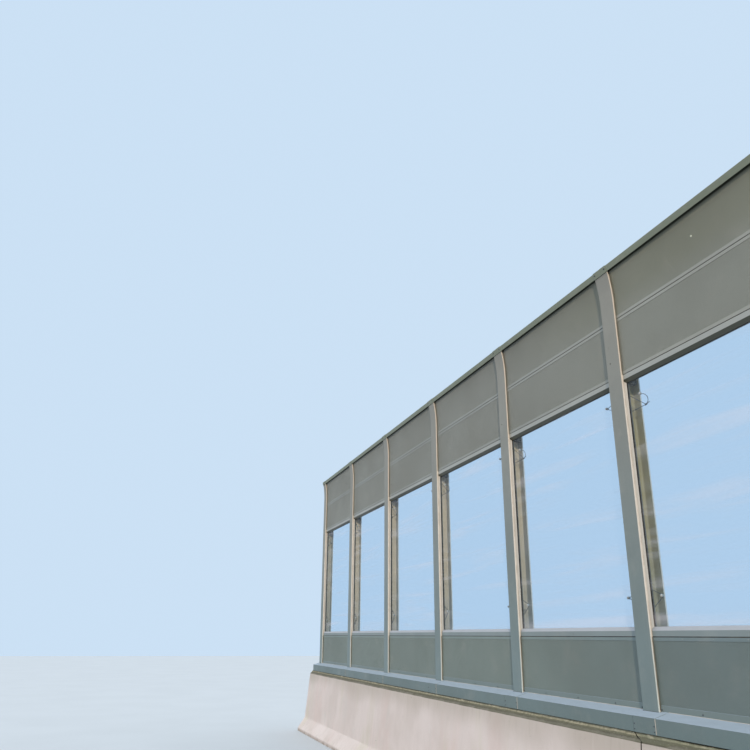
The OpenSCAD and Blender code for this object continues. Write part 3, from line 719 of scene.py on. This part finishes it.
# corner, number of points up to the next one, and kind of face there
OUTLINE = (
    ((-PARAPET_BACK, 0.0), 2, "floor"),
    ((-PARAPET_BACK, TOE), 8, "toe"),
    ((FLARE_RUN - PARAPET_BACK, TOE + FLARE_RISE), 28, "front"),
    ((TOP_FRONT - CHAMFER, PARAPET_TOP - CHAMFER), 4, "edge"),
    ((TOP_FRONT, PARAPET_TOP), 8, "top"),
    ((PARAPET_BACK - CHAMFER, PARAPET_TOP), 4, "edge"),
    ((PARAPET_BACK, PARAPET_TOP - CHAMFER), 20, "back"),
    ((PARAPET_BACK, 0.0), 6, "floor"),
)


def crack_at(y):
    """Where the joint's crack runs: straight up the face, then aslant under the cover."""
    return JOINT_X - CRACK_SLANT * held((y - CRACK_TURN) / (COVER_FRONT - CRACK_TURN))


def section_points():
    """Points round the parapet's section, each with its outward direction and kind."""
    points = []
    for (p, count, kind), (q, _, _) in zip(OUTLINE, OUTLINE[1:] + OUTLINE[:1]):
        length = math.hypot(q[0] - p[0], q[1] - p[1])
        out = Vector((0, -(q[1] - p[1]) / length, (q[0] - p[0]) / length))
        for k in range(count):
            t = k / count
            points.append((p[0] + t * (q[0] - p[0]), p[1] + t * (q[1] - p[1]), out, kind))
    return points


def chips(x0, x1, seed):
    """Places, half-lengths and depths of the chips along an edge."""
    rng = random.Random(seed)
    found = []
    x = x0
    while x < x1:
        x += rng.expovariate(1 / 0.9)
        found.append((x, rng.uniform(0.01, 0.03), rng.uniform(0.001, 0.004)))
    return found


def bite(edge_chips, x):
    """How deep the edge is chipped at x."""
    return max([depth * math.exp(-(((x - at) / half) ** 2)) for at, half, depth in edge_chips] + [0])


def parapet(name, node, seed):
    """Concrete with shallow waves, a worn and chipped top edge and a rough lip at the joint."""
    mesh = bmesh.new()
    x0, x1 = [corner.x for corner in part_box(node)]
    section = section_points()
    low_chips, high_chips = chips(x0, x1, seed), chips(x0, x1, seed + 8)
    count = round((x1 - x0) / RING_STEP)
    rings = []
    for i in range(count + 1):
        x = x0 + (x1 - x0) * i / count
        low_chip, high_chip = bite(low_chips, x), bite(high_chips, x)
        ring = []
        for y, z, out, kind in section:
            dent = 0.0012 * (1 + wave(x * 0.8, y * 2, z * 1.7)) + 0.0005 * (1 + wave(x * 6, y * 9, z * 9))
            if kind == "floor" or z < 0.001:
                dent = 0.0
            if kind == "edge":
                chip = low_chip if z < PARAPET_TOP - 0.008 else high_chip
                dent += 0.0004 * (1 + wave(x * 9, z * 60, 3.1)) + chip
            elif z > PARAPET_TOP - 0.05 and y < 0 and kind == "front":
                dent += low_chip * 0.4
            ring.append(Vector((x, y, z)) - out * dent)
        rings.append(ring)
    joint_last = x1 < PARAPET_END
    end = rings[-1] if joint_last else rings[0]
    lip, inner = [], []
    for p, (y, z, out, kind) in zip(end, section):
        shift = 0.0
        if kind in ("front", "edge", "toe") and y < 0:
            shift = (1 if joint_last else -1) * (0.0015 + 0.0015 * wave(z * 17, 1.7))
        inset = (-0.004 if y > 0 else 0.008) if z > 0.001 else 0.0
        lip.append(p + Vector((shift, 0, 0)))
        inner.append(p + Vector((0, inset, 0)))
    loft(mesh, rings + [lip, inner] if joint_last else [inner, lip] + rings)
    new_piece(name, mesh, "concrete", node, crease=0.5)


# mortar bed

# y, height above the parapet, way the lumps go, share of them, and how far the smear moves the point
MORTAR_SECTION = (
    (0.293, 0.0002, (0, 0), 0, (0, 0)),
    (0.292, 0.013, (1, 0), 0.5, (0, 0)),
    (0.288, 0.02, (0.6, 0.6), 0, (0, 0)),
    (-0.046, 0.02, (0, 1), 0, (0, 0)),
    (-0.056, 0.0265, (0, 1), 0.3, (0, 0)),
    (-0.067, 0.0315, (0, 1), 0.25, (0, 0)),
    (-0.0785, 0.031, (-0.4, 0.6), 0.5, (0, 0)),
    (-0.085, 0.026, (-0.8, 0.6), 0.8, (0, 0)),
    (-0.09, 0.02, (-0.8, 0.6), 1, (0, 0)),
    (-0.0945, 0.014, (-0.8, 0.6), 1, (0, 0)),
    (-0.0985, 0.0085, (-0.8, 0.6), 1, (-0.001, 0)),
    (-0.102, 0.004, (-0.8, 0.5), 0.9, (-0.003, 0)),
    (-0.1045, 0.0022, (-0.8, 0.5), 0.6, (-0.0085, -0.0002)),
    (-0.1065, 0.0012, (-0.8, 0.3), 0.5, (-0.0205, -0.0156)),
    (-0.1075, -0.0005, (-0.8, 0), 0.2, (-0.0207, -0.016)),
    (-0.09, -0.001, (0, 0), 0, (0, 0)),
)
MORTAR_STEP = 0.013
SMEAR_END = 4.45
SUNK_FROM = 4.3
SUNK_TO = 5.3
SLANT_REACH = 0.35


def mortar_ring(x, joint_side):
    """Section of the bed at x; joint_side is -1 before the joint and 1 past it."""
    smear = 0.0
    if joint_side > 0:
        smear = held((SMEAR_END + 0.1 * wave(x * 3, 5.5) - x) / 0.1)
    sunk = held((x - SUNK_FROM) / 0.18) * held((SUNK_TO - x) / 0.3)
    slant = max(0.0, 1 - abs(x - JOINT_X) / SLANT_REACH)
    ring = []
    for y, rise, out, loose, moved in MORTAR_SECTION:
        y, z = y + moved[0] * smear, PARAPET_TOP + rise + moved[1] * smear
        if loose and y < 0:
            y, z = y + 0.006 * sunk, z - 0.004 * sunk
        lump = 0.0022 * wave(x * 17, z * 40, y * 30) + 0.0018 * wave(x * 5, z * 9, 7.0)
        lump += 0.0009 * wave(x * 70, z * 90, y * 90)
        lump *= (1 - 0.6 * smear) * loose
        shift = (crack_at(y) + joint_side * CRACK / 2 - JOINT_X) * slant
        if slant > 0.99:
            shift += 0.003 * wave(y * 160, z * 120, 2.2)
        ring.append(Vector((x + shift, y + out[0] * lump, z + out[1] * lump)))
    return ring


def mortar_bed():
    """Mortar laid on the parapet and smeared up to the cover, lumpy, cracked aslant at the joint."""
    mesh = bmesh.new()
    for x0, x1, joint_side in ((-PARAPET_END, JOINT_X, -1), (JOINT_X, PARAPET_END, 1)):
        count = round((x1 - x0) / MORTAR_STEP)
        loft(mesh, [mortar_ring(x0 + (x1 - x0) * i / count, joint_side) for i in range(count + 1)])
    new_piece("mortar_bed", mesh, "mortar", "levelling_mortar", crease=0.9)


# safety ropes

CLEAR_MIDDLE = (CLEAR_BOTTOM + CLEAR_TOP) / 2
ROPE_RADIUS = 0.0029
STRANDS = 6
LAY = 0.034
GROOVE = 0.16
ROPE_START = 0.0438
ROPE_END = 0.01175
EYE_DEPTH = 0.076
EYE_RISE = 0.062
EYE_DROP = 0.096
EYE_RING = 0.0133
EYE_FOOT = 0.0038
SLEEVE = 0.0075
STRAND_GAP = Vector((0, 0, 0.005))
SAG = 0.0012
# from the post's middle, behind the plug and above it
FORK = (0.242, 0.022, -0.092)
LOOP_BULGE = 0.034
# side of the bay, distance from the post's middle, height from the clear row's middle, slack or not
PLUGS = (
    (-1, 0.2, -0.736, False),
    (-1, 0.225, 0.82, True),
    (1, 0.2, -0.736, False),
    (1, 0.225, 0.82, False),
)


def tube(mesh, points):
    """Adds a twisted wire rope along a list of points a few millimetres apart."""
    count = STRANDS * 2
    side = (points[1] - points[0]).orthogonal().normalized()
    length = 0.0
    rings = []
    for i, p in enumerate(points):
        if i:
            length += (p - points[i - 1]).length
        ahead = (points[min(i + 1, len(points) - 1)] - points[max(i - 1, 0)]).normalized()
        side = (side - ahead * side.dot(ahead)).normalized()
        other = ahead.cross(side)
        ring = []
        for k in range(count):
            a = 2 * math.pi * (k / count + length / LAY)
            r = ROPE_RADIUS * (1 - GROOVE * (k % 2))
            ring.append(p + r * (math.cos(a) * side + math.sin(a) * other))
        rings.append(ring)
    loft(mesh, rings)


def straight(a, b, sag=0.0):
    """Points from a to b, which hang a little between them."""
    count = max(2, round((b - a).length / 0.006))
    points = []
    for k in range(count + 1):
        t = k / count
        points.append(a.lerp(b, t) - Vector((0, 0, sag * 4 * t * (1 - t))))
    return points


def loop_points(a, b, side, bulge):
    """One arc from a to b that bulges towards a side."""
    half = (b - a).length / 2
    along = (b - a).normalized()
    out = (side - along * side.dot(along)).normalized()
    radius = (half * half + bulge * bulge) / (2 * bulge)
    off = bulge - radius
    x = (-half * along - off * out) / radius
    y = (-off * along + half * out) / radius
    middle = (a + b) / 2 + off * out
    sweep = 4 * math.atan(bulge / half)
    count = round(sweep * radius / 0.005)
    turns = [sweep * k / count for k in range(count + 1)]
    return [middle + radius * (math.cos(t) * x + math.sin(t) * y) for t in turns]


def sleeve(mesh, point, direction, r, length, flat=1.0):
    """Pressed sleeve on a rope, with rounded ends."""
    h = length / 2
    shape = [(0, -h), (r * 0.6, -h), (r * 0.92, -h + r * 0.25), (r, -h + r * 0.7)]
    shape += [(a, -b) for a, b in shape[::-1]]
    turned(mesh, shape, aimed(point, direction) @ Matrix.Diagonal((1, flat, 1, 1)), 14)


def ring_of_wire(mesh, matrix, big, wire):
    """Adds a closed ring of round wire about the matrix's Z."""
    steps, around = 20, 8
    rows = []
    for i in range(steps):
        a = 2 * math.pi * i / steps
        row = []
        for k in range(around):
            b = 2 * math.pi * k / around
            r = big + wire * math.cos(b)
            place = Vector((r * math.cos(a), r * math.sin(a), wire * math.sin(b)))
            row.append(mesh.verts.new(matrix @ place))
        rows.append(row)
    for low, high in zip(rows, rows[1:] + rows[:1]):
        for k in range(around):
            after = (k + 1) % around
            mesh.faces.new((low[k], high[k], high[after], low[after]))


def by_post(bay, side, u, v, z):
    """A point u from a post's middle and v behind the frame's face, z from the clear row's middle."""
    return Vector((BAY_MIDDLES[bay] + side * (PITCH / 2 - u), PANEL_FRONT + v, CLEAR_MIDDLE + z))


def slack_loop(mesh, bay, side, z, plug):
    """The loose loop under a plug with its clamp and spare end. Returns the place of the clamp."""
    fork = by_post(bay, side, FORK[0], ROPE_START + FORK[1], z + FORK[2])
    tail = fork + Vector((-side * 0.042, -0.002, 0.009))
    tube(mesh, loop_points(plug, fork, Vector((-side * 0.85, 0.53, 0)), LOOP_BULGE))
    tube(mesh, straight(fork, tail))
    sleeve(mesh, fork, tail - fork, SLEEVE, 0.026, 0.8)
    sleeve(mesh, tail, tail - fork, 0.0036, 0.007)
    return fork


def eye_bolt(mesh, bay, side, end):
    """Ring, nut and shank on the post's web, for a rope that ends at end."""
    wall = BAY_MIDDLES[bay] + side * PITCH / 2
    eye = Vector((wall - side * EYE_RING, end.y, end.z))
    ring_of_wire(mesh, aimed(eye, -TO_ROAD), 0.0056, 0.0019)
    foot = aimed(Vector((wall - side * EYE_FOOT, end.y, end.z)), Vector((-side, 0, 0)))
    nut = [(0, -0.0002), (0.009, -0.0002), (0.009, 0.0036), (0.0078, 0.0045), (0, 0.0045)]
    turned(mesh, nut, foot, 6)
    shank = [(0, 0), (0.0026, 0), (0.0026, 0.006), (0, 0.006)]
    turned(mesh, shank, foot, 10)


def ropes():
    """From each plug two strands of rope to two eyes on the post, some by way of a slack loop."""
    rope = bmesh.new()
    eyes = bmesh.new()
    for bay in range(BAYS):
        for side, u, z, slack in PLUGS:
            plug = by_post(bay, side, u, ROPE_START, z)
            if slack:
                fork = slack_loop(rope, bay, side, z, plug)
                starts = [fork, fork]
            else:
                starts = [plug + STRAND_GAP, plug - STRAND_GAP]
            sleeve(rope, plug, -TO_ROAD, SLEEVE, 0.006)
            for start, rise in zip(starts, (EYE_RISE, -EYE_DROP)):
                end = by_post(bay, side, ROPE_END, EYE_DEPTH, z + rise)
                tube(rope, straight(start, end, SAG))
                back = (start - end).normalized()
                sleeve(rope, end + back * 0.02, back, 0.0046, 0.014)
                eye_bolt(eyes, bay, side, end)
    new_piece("wire_ropes", rope, "wire_rope", "safety_ropes")
    new_piece("eye_bolts", eyes, "wire_rope", "rope_eyes")


# screws, tabs, rivets and plugs

CHANCE = random.Random(5)
JOINT_LEFT = 0.0775
JOINT_RIGHT = 0.1675
JOINT_FACE = COVER_FRONT - 0.004
BACK_FACE = POST_FRONT + POST_DEPTH + 0.092
TAB_FRONT = PANEL_FRONT - 0.0036
TAB_REAR = PANEL_FRONT - 0.0021
TAB_BOTTOM = 1.2035
TAB_TOP = 1.2325
SCREW_MARGIN = 0.012
COVER_SCREWS = 0.525
CAP_SCREWS = 0.07
RIVET_EDGE = 0.0125
RIVET_PITCH = 0.3
PLUG_ASIDE = 0.036
PLUG_HEIGHT = 3.885
STUD_AT = 5.054
STUD_HEIGHT = 4.518
ON_PANEL = PANEL_FRONT - POST_FRONT
ON_PANEL_BACK = PANEL_BACK - POST_FRONT


def screw(mesh, matrix, r, washer=0.0):
    """Pan-head screw with a socket, on a washer where washer is its radius."""
    spin = CHANCE.uniform(0, 6.28)
    low = -0.0015
    if washer:
        rim = [(0, low), (washer * 0.97, low), (washer, 0.0), (washer * 0.93, 0.0014)]
        turned(mesh, rim + [(r * 0.8, 0.0016), (0, 0.0016)], matrix, 20, spin)
        matrix = matrix @ Matrix.Translation((0, 0, 0.0014))
    head = ((1, 0.25), (0.86, 0.52), (0.55, 0.66), (0.42, 0.68), (0.36, 0.3), (0, 0.22))
    turned(mesh, [(0, low), (r, low)] + [(a * r, h * r) for a, h in head], matrix, 12, spin)


def rivet(mesh, x, s, d, way, r):
    """Domed blind rivet with the dimple of its pulled pin; way is 1 on the road side, -1 on the back."""
    point, out, up = on_path(x, s, d)
    head = ((0, -0.2), (1, -0.2), (1, 0.06), (0.8, 0.3), (0.45, 0.45), (0.3, 0.46), (0.22, 0.3), (0, 0.28))
    turned(mesh, [(a * r, h * r) for a, h in head], facing(point, out * way, up), 10)


def upright(x, y, z, back=False):
    """Matrix of a fixing on an upright face of the road side or of the back."""
    return facing(Vector((x, y, z)), -TO_ROAD if back else TO_ROAD, UP)


def foot_tab(mesh, x, side):
    """Small plate with rounded outer corners, on the cover's upstand beside a post."""
    rows = []
    for reach, cut in ((0.0, 0.0), (0.019, 0.0), (0.023, 0.0012), (0.0262, 0.0038), (0.0275, 0.0075)):
        low, high = TAB_BOTTOM + cut, TAB_TOP - cut
        corners = ((TAB_FRONT, low), (TAB_FRONT, high), (TAB_REAR, high), (TAB_REAR, low))
        rows.append([Vector((x + side * reach, y, z)) for y, z in corners])
    loft(mesh, rows)


def cover_fixings():
    """Screws of the joint plates and along the upstands, and the tabs beside the posts' feet."""
    road = bmesh.new()
    back = bmesh.new()
    tabs = bmesh.new()
    fascia = (COVER_EDGE + COVER_BOTTOM) / 2
    for post in POSTS[1:-1]:
        for x in (post - JOINT_LEFT + SCREW_MARGIN, post + JOINT_RIGHT - SCREW_MARGIN):
            screw(road, upright(x, JOINT_FACE, fascia + 0.002), 0.0048)
            screw(road, upright(x, JOINT_FACE, fascia - 0.034), 0.004)
        for x in (post + 0.033, post + 0.057):
            for z in (fascia + 0.028, fascia - 0.028):
                screw(back, upright(x, BACK_FACE, z, True), 0.0048)
    for middle in BAY_MIDDLES:
        for x in (-COVER_SCREWS, 0.0, COVER_SCREWS):
            x += middle + 0.02 + 0.06 * wave(middle * 1.7, 4.4)
            screw(road, upright(x, PANEL_FRONT - 0.002, COVER_TOP - 0.0235), 0.0052)
            screw(back, upright(x, PANEL_BACK + 0.002, COVER_TOP - 0.0185, True), 0.0046)
    for post in POSTS:
        for side, start in ((-1, post - 0.111), (1, post + 0.0885)):
            if abs(post + side) < HALF:
                foot_tab(tabs, start, side)
                screw(road, upright(start + side * 0.0115, TAB_FRONT, TAB_BOTTOM + 0.011), 0.0052)
    new_piece("foot_tabs", tabs, "cover_paint")
    new_piece("cover_screws", road, "wire_rope")
    new_piece("back_cover_screws", back, "wire_rope")


def cap_fixings():
    """Screws with washers on both sides of the cap, two at each post."""
    caps = bmesh.new()
    for post in POSTS:
        for x in (post - CAP_SCREWS, post + CAP_SCREWS):
            for d, way in ((-0.0072, 1), (POST_DEPTH + 0.0063, -1)):
                point, out, up = on_path(x, PATH_TOP - 0.02, d)
                screw(caps, facing(point, out * way, up), 0.0045, 0.0075)
    new_piece("cap_screws", caps, "wire_rope")


def panel_fixings():
    """Rivets along the rows' edges on both sides, and near the bays' ends on the back."""
    rivets = bmesh.new()
    for low, high in ((PANEL_BOTTOM, ROW1_TOP), (ROW2_BOTTOM, ROW2_TOP), (ROW3_BOTTOM, ROW3_TOP)):
        for middle in BAY_MIDDLES:
            for s in (low + RIVET_EDGE, high - RIVET_EDGE):
                if s < PANEL_BOTTOM + 0.04:
                    continue
                for k in range(-3, 4):
                    rivet(rivets, middle + k * RIVET_PITCH, s, ON_PANEL, 1, 0.0034)
                    rivet(rivets, middle + k * RIVET_PITCH, s, ON_PANEL_BACK, -1, 0.0042)
            for s in (low + 0.13, (low + high) / 2, high - 0.13):
                for x in (middle - 0.85, middle + 0.85):
                    rivet(rivets, x, s, ON_PANEL_BACK, -1, 0.0042)
    new_piece("panel_rivets", rivets, "upper_panel_paint")


def plugs_and_stud():
    """A plug in each post's flange, and one stud on a top panel."""
    plugs = bmesh.new()
    rim = [(0, -0.001), (0.0058, -0.001), (0.0062, 0.0006), (0.005, 0.0012), (0.0034, 0.0013)]
    for post in POSTS:
        place = upright(post - PLUG_ASIDE, POST_FRONT, PLUG_HEIGHT)
        turned(plugs, rim + [(0.003, 0.0004), (0, 0.0003)], place)
    new_piece("flange_plugs", plugs, "black_rubber")

    stud = bmesh.new()
    point, out, up = on_path(STUD_AT, STUD_HEIGHT, ON_PANEL + 0.002)
    head = [(0, -0.001), (0.007, -0.001), (0.007, 0.001), (0.005, 0.0026), (0, 0.0032)]
    turned(stud, head, facing(point, out, up))
    new_piece("panel_stud", stud, "plug_plastic")


# sealant, and beads that paint highlight and shadow lines

COVER_SKIN = 0.0022
END_GAP = 0.09
ASLANT_OUT = Vector((0, -0.7, 0.714))
ASLANT_UP = Vector((0, 0.714, 0.7))


def bead(mesh, points, out, up, width, height, seed):
    """A hand-drawn bead of sealant along points: half round, a little uneven."""
    rings = []
    for i, p in enumerate(points):
        w = width / 2 * (1 + 0.25 * wave(i * 0.35, seed))
        h = height * (1 + 0.3 * wave(i * 0.27, seed + 5.0))
        ring = [p - up * w - out * 0.0006]
        for degrees in range(0, 181, 36):
            angle = math.radians(degrees)
            ring.append(p - up * (w * math.cos(angle)) + out * (h * math.sin(angle)))
        ring.append(p + up * w - out * 0.0006)
        rings.append(ring)
    loft(mesh, rings)


def level(x0, x1, y, z, count):
    """Points along the barrier from x0 to x1."""
    return [Vector((x0 + (x1 - x0) * k / count, y, z)) for k in range(count + 1)]


def beads():
    """Pale beads that paint highlight lines beside the joint plates and along the covers' bends, and dark
    beads that paint shadow lines beside the joint plates and at the posts' feet.
    """
    pale = bmesh.new()
    dark = bmesh.new()
    heights = [COVER_EDGE + (COVER_BOTTOM - COVER_EDGE) * k / 8 for k in range(9)]
    for n, post in enumerate(POSTS[1:-1]):
        left, right = post - JOINT_LEFT - 0.001, post + JOINT_RIGHT + 0.001
        # the left bead is a painted shadow line, the right one a painted highlight line
        for mesh, x, width in ((dark, left, 0.0045), (pale, right, 0.0042)):
            points = [Vector((x, COVER_FRONT - COVER_SKIN, z)) for z in heights]
            bead(mesh, points, TO_ROAD, ALONG, width, 0.0018, n * 3.7 + x)
    # pale beads along the covers' bends paint a highlight line
    for n in range(BAYS):
        x0 = POSTS[n] + (JOINT_RIGHT if n else END_GAP)
        x1 = POSTS[n + 1] - (JOINT_LEFT if n < BAYS - 1 else END_GAP)
        points = level(x0, x1, PANEL_FRONT - 0.003, PANEL_BOTTOM + 0.0008, 110)
        bead(pale, points, ASLANT_OUT, ASLANT_UP, 0.006, 0.0018, n)
    run, fall = PANEL_FRONT - COVER_FRONT, PANEL_BOTTOM - COVER_EDGE
    slope_z = PANEL_BOTTOM - (PANEL_FRONT - POST_FRONT + 0.003) * fall / run
    foot_z = slope_z + COVER_SKIN * run / math.hypot(run, fall) + 0.0012
    # dark beads at the posts' feet paint a shadow line
    for post in POSTS:
        points = level(post - POST_WIDTH / 2, post + POST_WIDTH / 2, POST_FRONT - 0.0015, foot_z, 16)
        bead(dark, points, ASLANT_OUT, ASLANT_UP, 0.0065, 0.0022, post)
    new_piece("highlight_line_beads", pale, "seal_rubber")
    new_piece("shadow_line_beads", dark, "black_rubber")


def lip_beads():
    """Beads along the tops of the covers' upstands, on the road side and on the back."""
    lips = bmesh.new()
    for n, middle in enumerate(BAY_MIDDLES):
        for y, out in ((PANEL_FRONT - 0.0002, TO_ROAD), (PANEL_BACK + 0.0002, -TO_ROAD)):
            points = level(middle - 0.905, middle + 0.905, y, COVER_TOP + 0.0012, 90)
            bead(lips, points, out, UP, 0.005, 0.0022, n + y * 50)
    new_piece("lip_sealant", lips, "cover_paint")


parapet("parapet_far_concrete", "parapet_far", 23)
parapet("parapet_near_concrete", "parapet_near", 24)
mortar_bed()
ropes()
cover_fixings()
cap_fixings()
panel_fixings()
plugs_and_stud()
beads()
lip_beads()


# camera, as solved from edges in the photograph, and light

CAMERA_AT = (8.90255827, -3.64557424, 1.69226871)
CAMERA_YAW = 0.307864559
CAMERA_PITCH = 0.34300924
CAMERA_ROLL = 0.00727276558
FOCAL_PIXELS = 731.873166
FRAME_PIXELS = 750
SENSOR = 36
SUN_FROM = (0.935, -0.30, 0.19)
SUN_COLOUR = (1.0, 0.83, 0.64)
SKY_LIGHT = (0.80, 0.90, 1.0, 1)
SKY_LOW = 0.52
SKY_HIGH = 1.72
SKY_SEEN = (0.60, 0.75, 0.91, 1)


def make_camera():
    """The photograph's camera."""
    forward = Vector(
        (
            -math.cos(CAMERA_YAW) * math.cos(CAMERA_PITCH),
            math.sin(CAMERA_YAW) * math.cos(CAMERA_PITCH),
            math.sin(CAMERA_PITCH),
        )
    )
    right = forward.cross(UP).normalized()
    up = right.cross(forward)
    upward = up * math.cos(CAMERA_ROLL) - right * math.sin(CAMERA_ROLL)
    data = bpy.data.cameras.new("camera")
    data.sensor_width = SENSOR
    data.lens = SENSOR * FOCAL_PIXELS / FRAME_PIXELS
    data.clip_start = 0.05
    data.clip_end = 400
    camera = placed("camera", data)
    camera.matrix_world = facing(Vector(CAMERA_AT), -forward, upward)
    bpy.context.scene.camera = camera


def make_sky():
    """A cool sky that is brighter above, seen as one plain pale blue."""
    world = bpy.data.worlds.new("world")
    bpy.context.scene.world = world
    sky = Nodes(world)
    height = sky.parts(sky.add("ShaderNodeTexCoord").outputs["Generated"])["Z"]
    rise = sky.add("ShaderNodeMapRange")
    sky.feed_all(rise.inputs, (height, 0.0, 1.0, SKY_LOW, SKY_HIGH))
    light = sky.add("ShaderNodeBackground")
    sky.fill(light, Color=SKY_LIGHT, Strength=rise.outputs[0])
    seen = sky.add("ShaderNodeBackground")
    sky.fill(seen, Color=SKY_SEEN, Strength=1.0)
    both = sky.add("ShaderNodeMixShader")
    sky.feed_all(both.inputs, (sky.seen(), light.outputs[0], seen.outputs[0]))
    sky.fill(sky.add("ShaderNodeOutputWorld"), Surface=both.outputs[0])


def make_sun():
    """A warm, low sun off the near end of the barrier, which only grazes the road side."""
    data = bpy.data.lights.new("low_lamp", "SUN")
    data.energy = 2.3
    data.angle = math.radians(2)
    data.color = SUN_COLOUR
    lamp = placed("low_lamp", data)
    lamp.rotation_euler = Vector(SUN_FROM).to_track_quat("Z", "Y").to_euler()


def make_floor():
    """A pale floor, for the pictures only."""
    mesh = bmesh.new()
    bmesh.ops.create_grid(mesh, x_segments=4, y_segments=4, size=60)
    data = bpy.data.meshes.new("floor")
    mesh.to_mesh(data)
    mesh.free()
    floor = placed("floor", data)
    floor.location = (0, 0, -0.0005)
    s = Shade("floor_paint")
    pale = s.mix(s.span(s.noise(0.7, detail=4), 0.3, 0.7), srgb(193, 196, 198), srgb(196, 199, 201))
    s.set(Base_Color=s.mix(s.seen(), srgb(144, 145, 146), pale), Roughness=0.85)
    data.materials.append(s.material)


make_camera()
make_sky()
make_sun()
make_floor()
bpy.context.scene.view_settings.view_transform = "Standard"
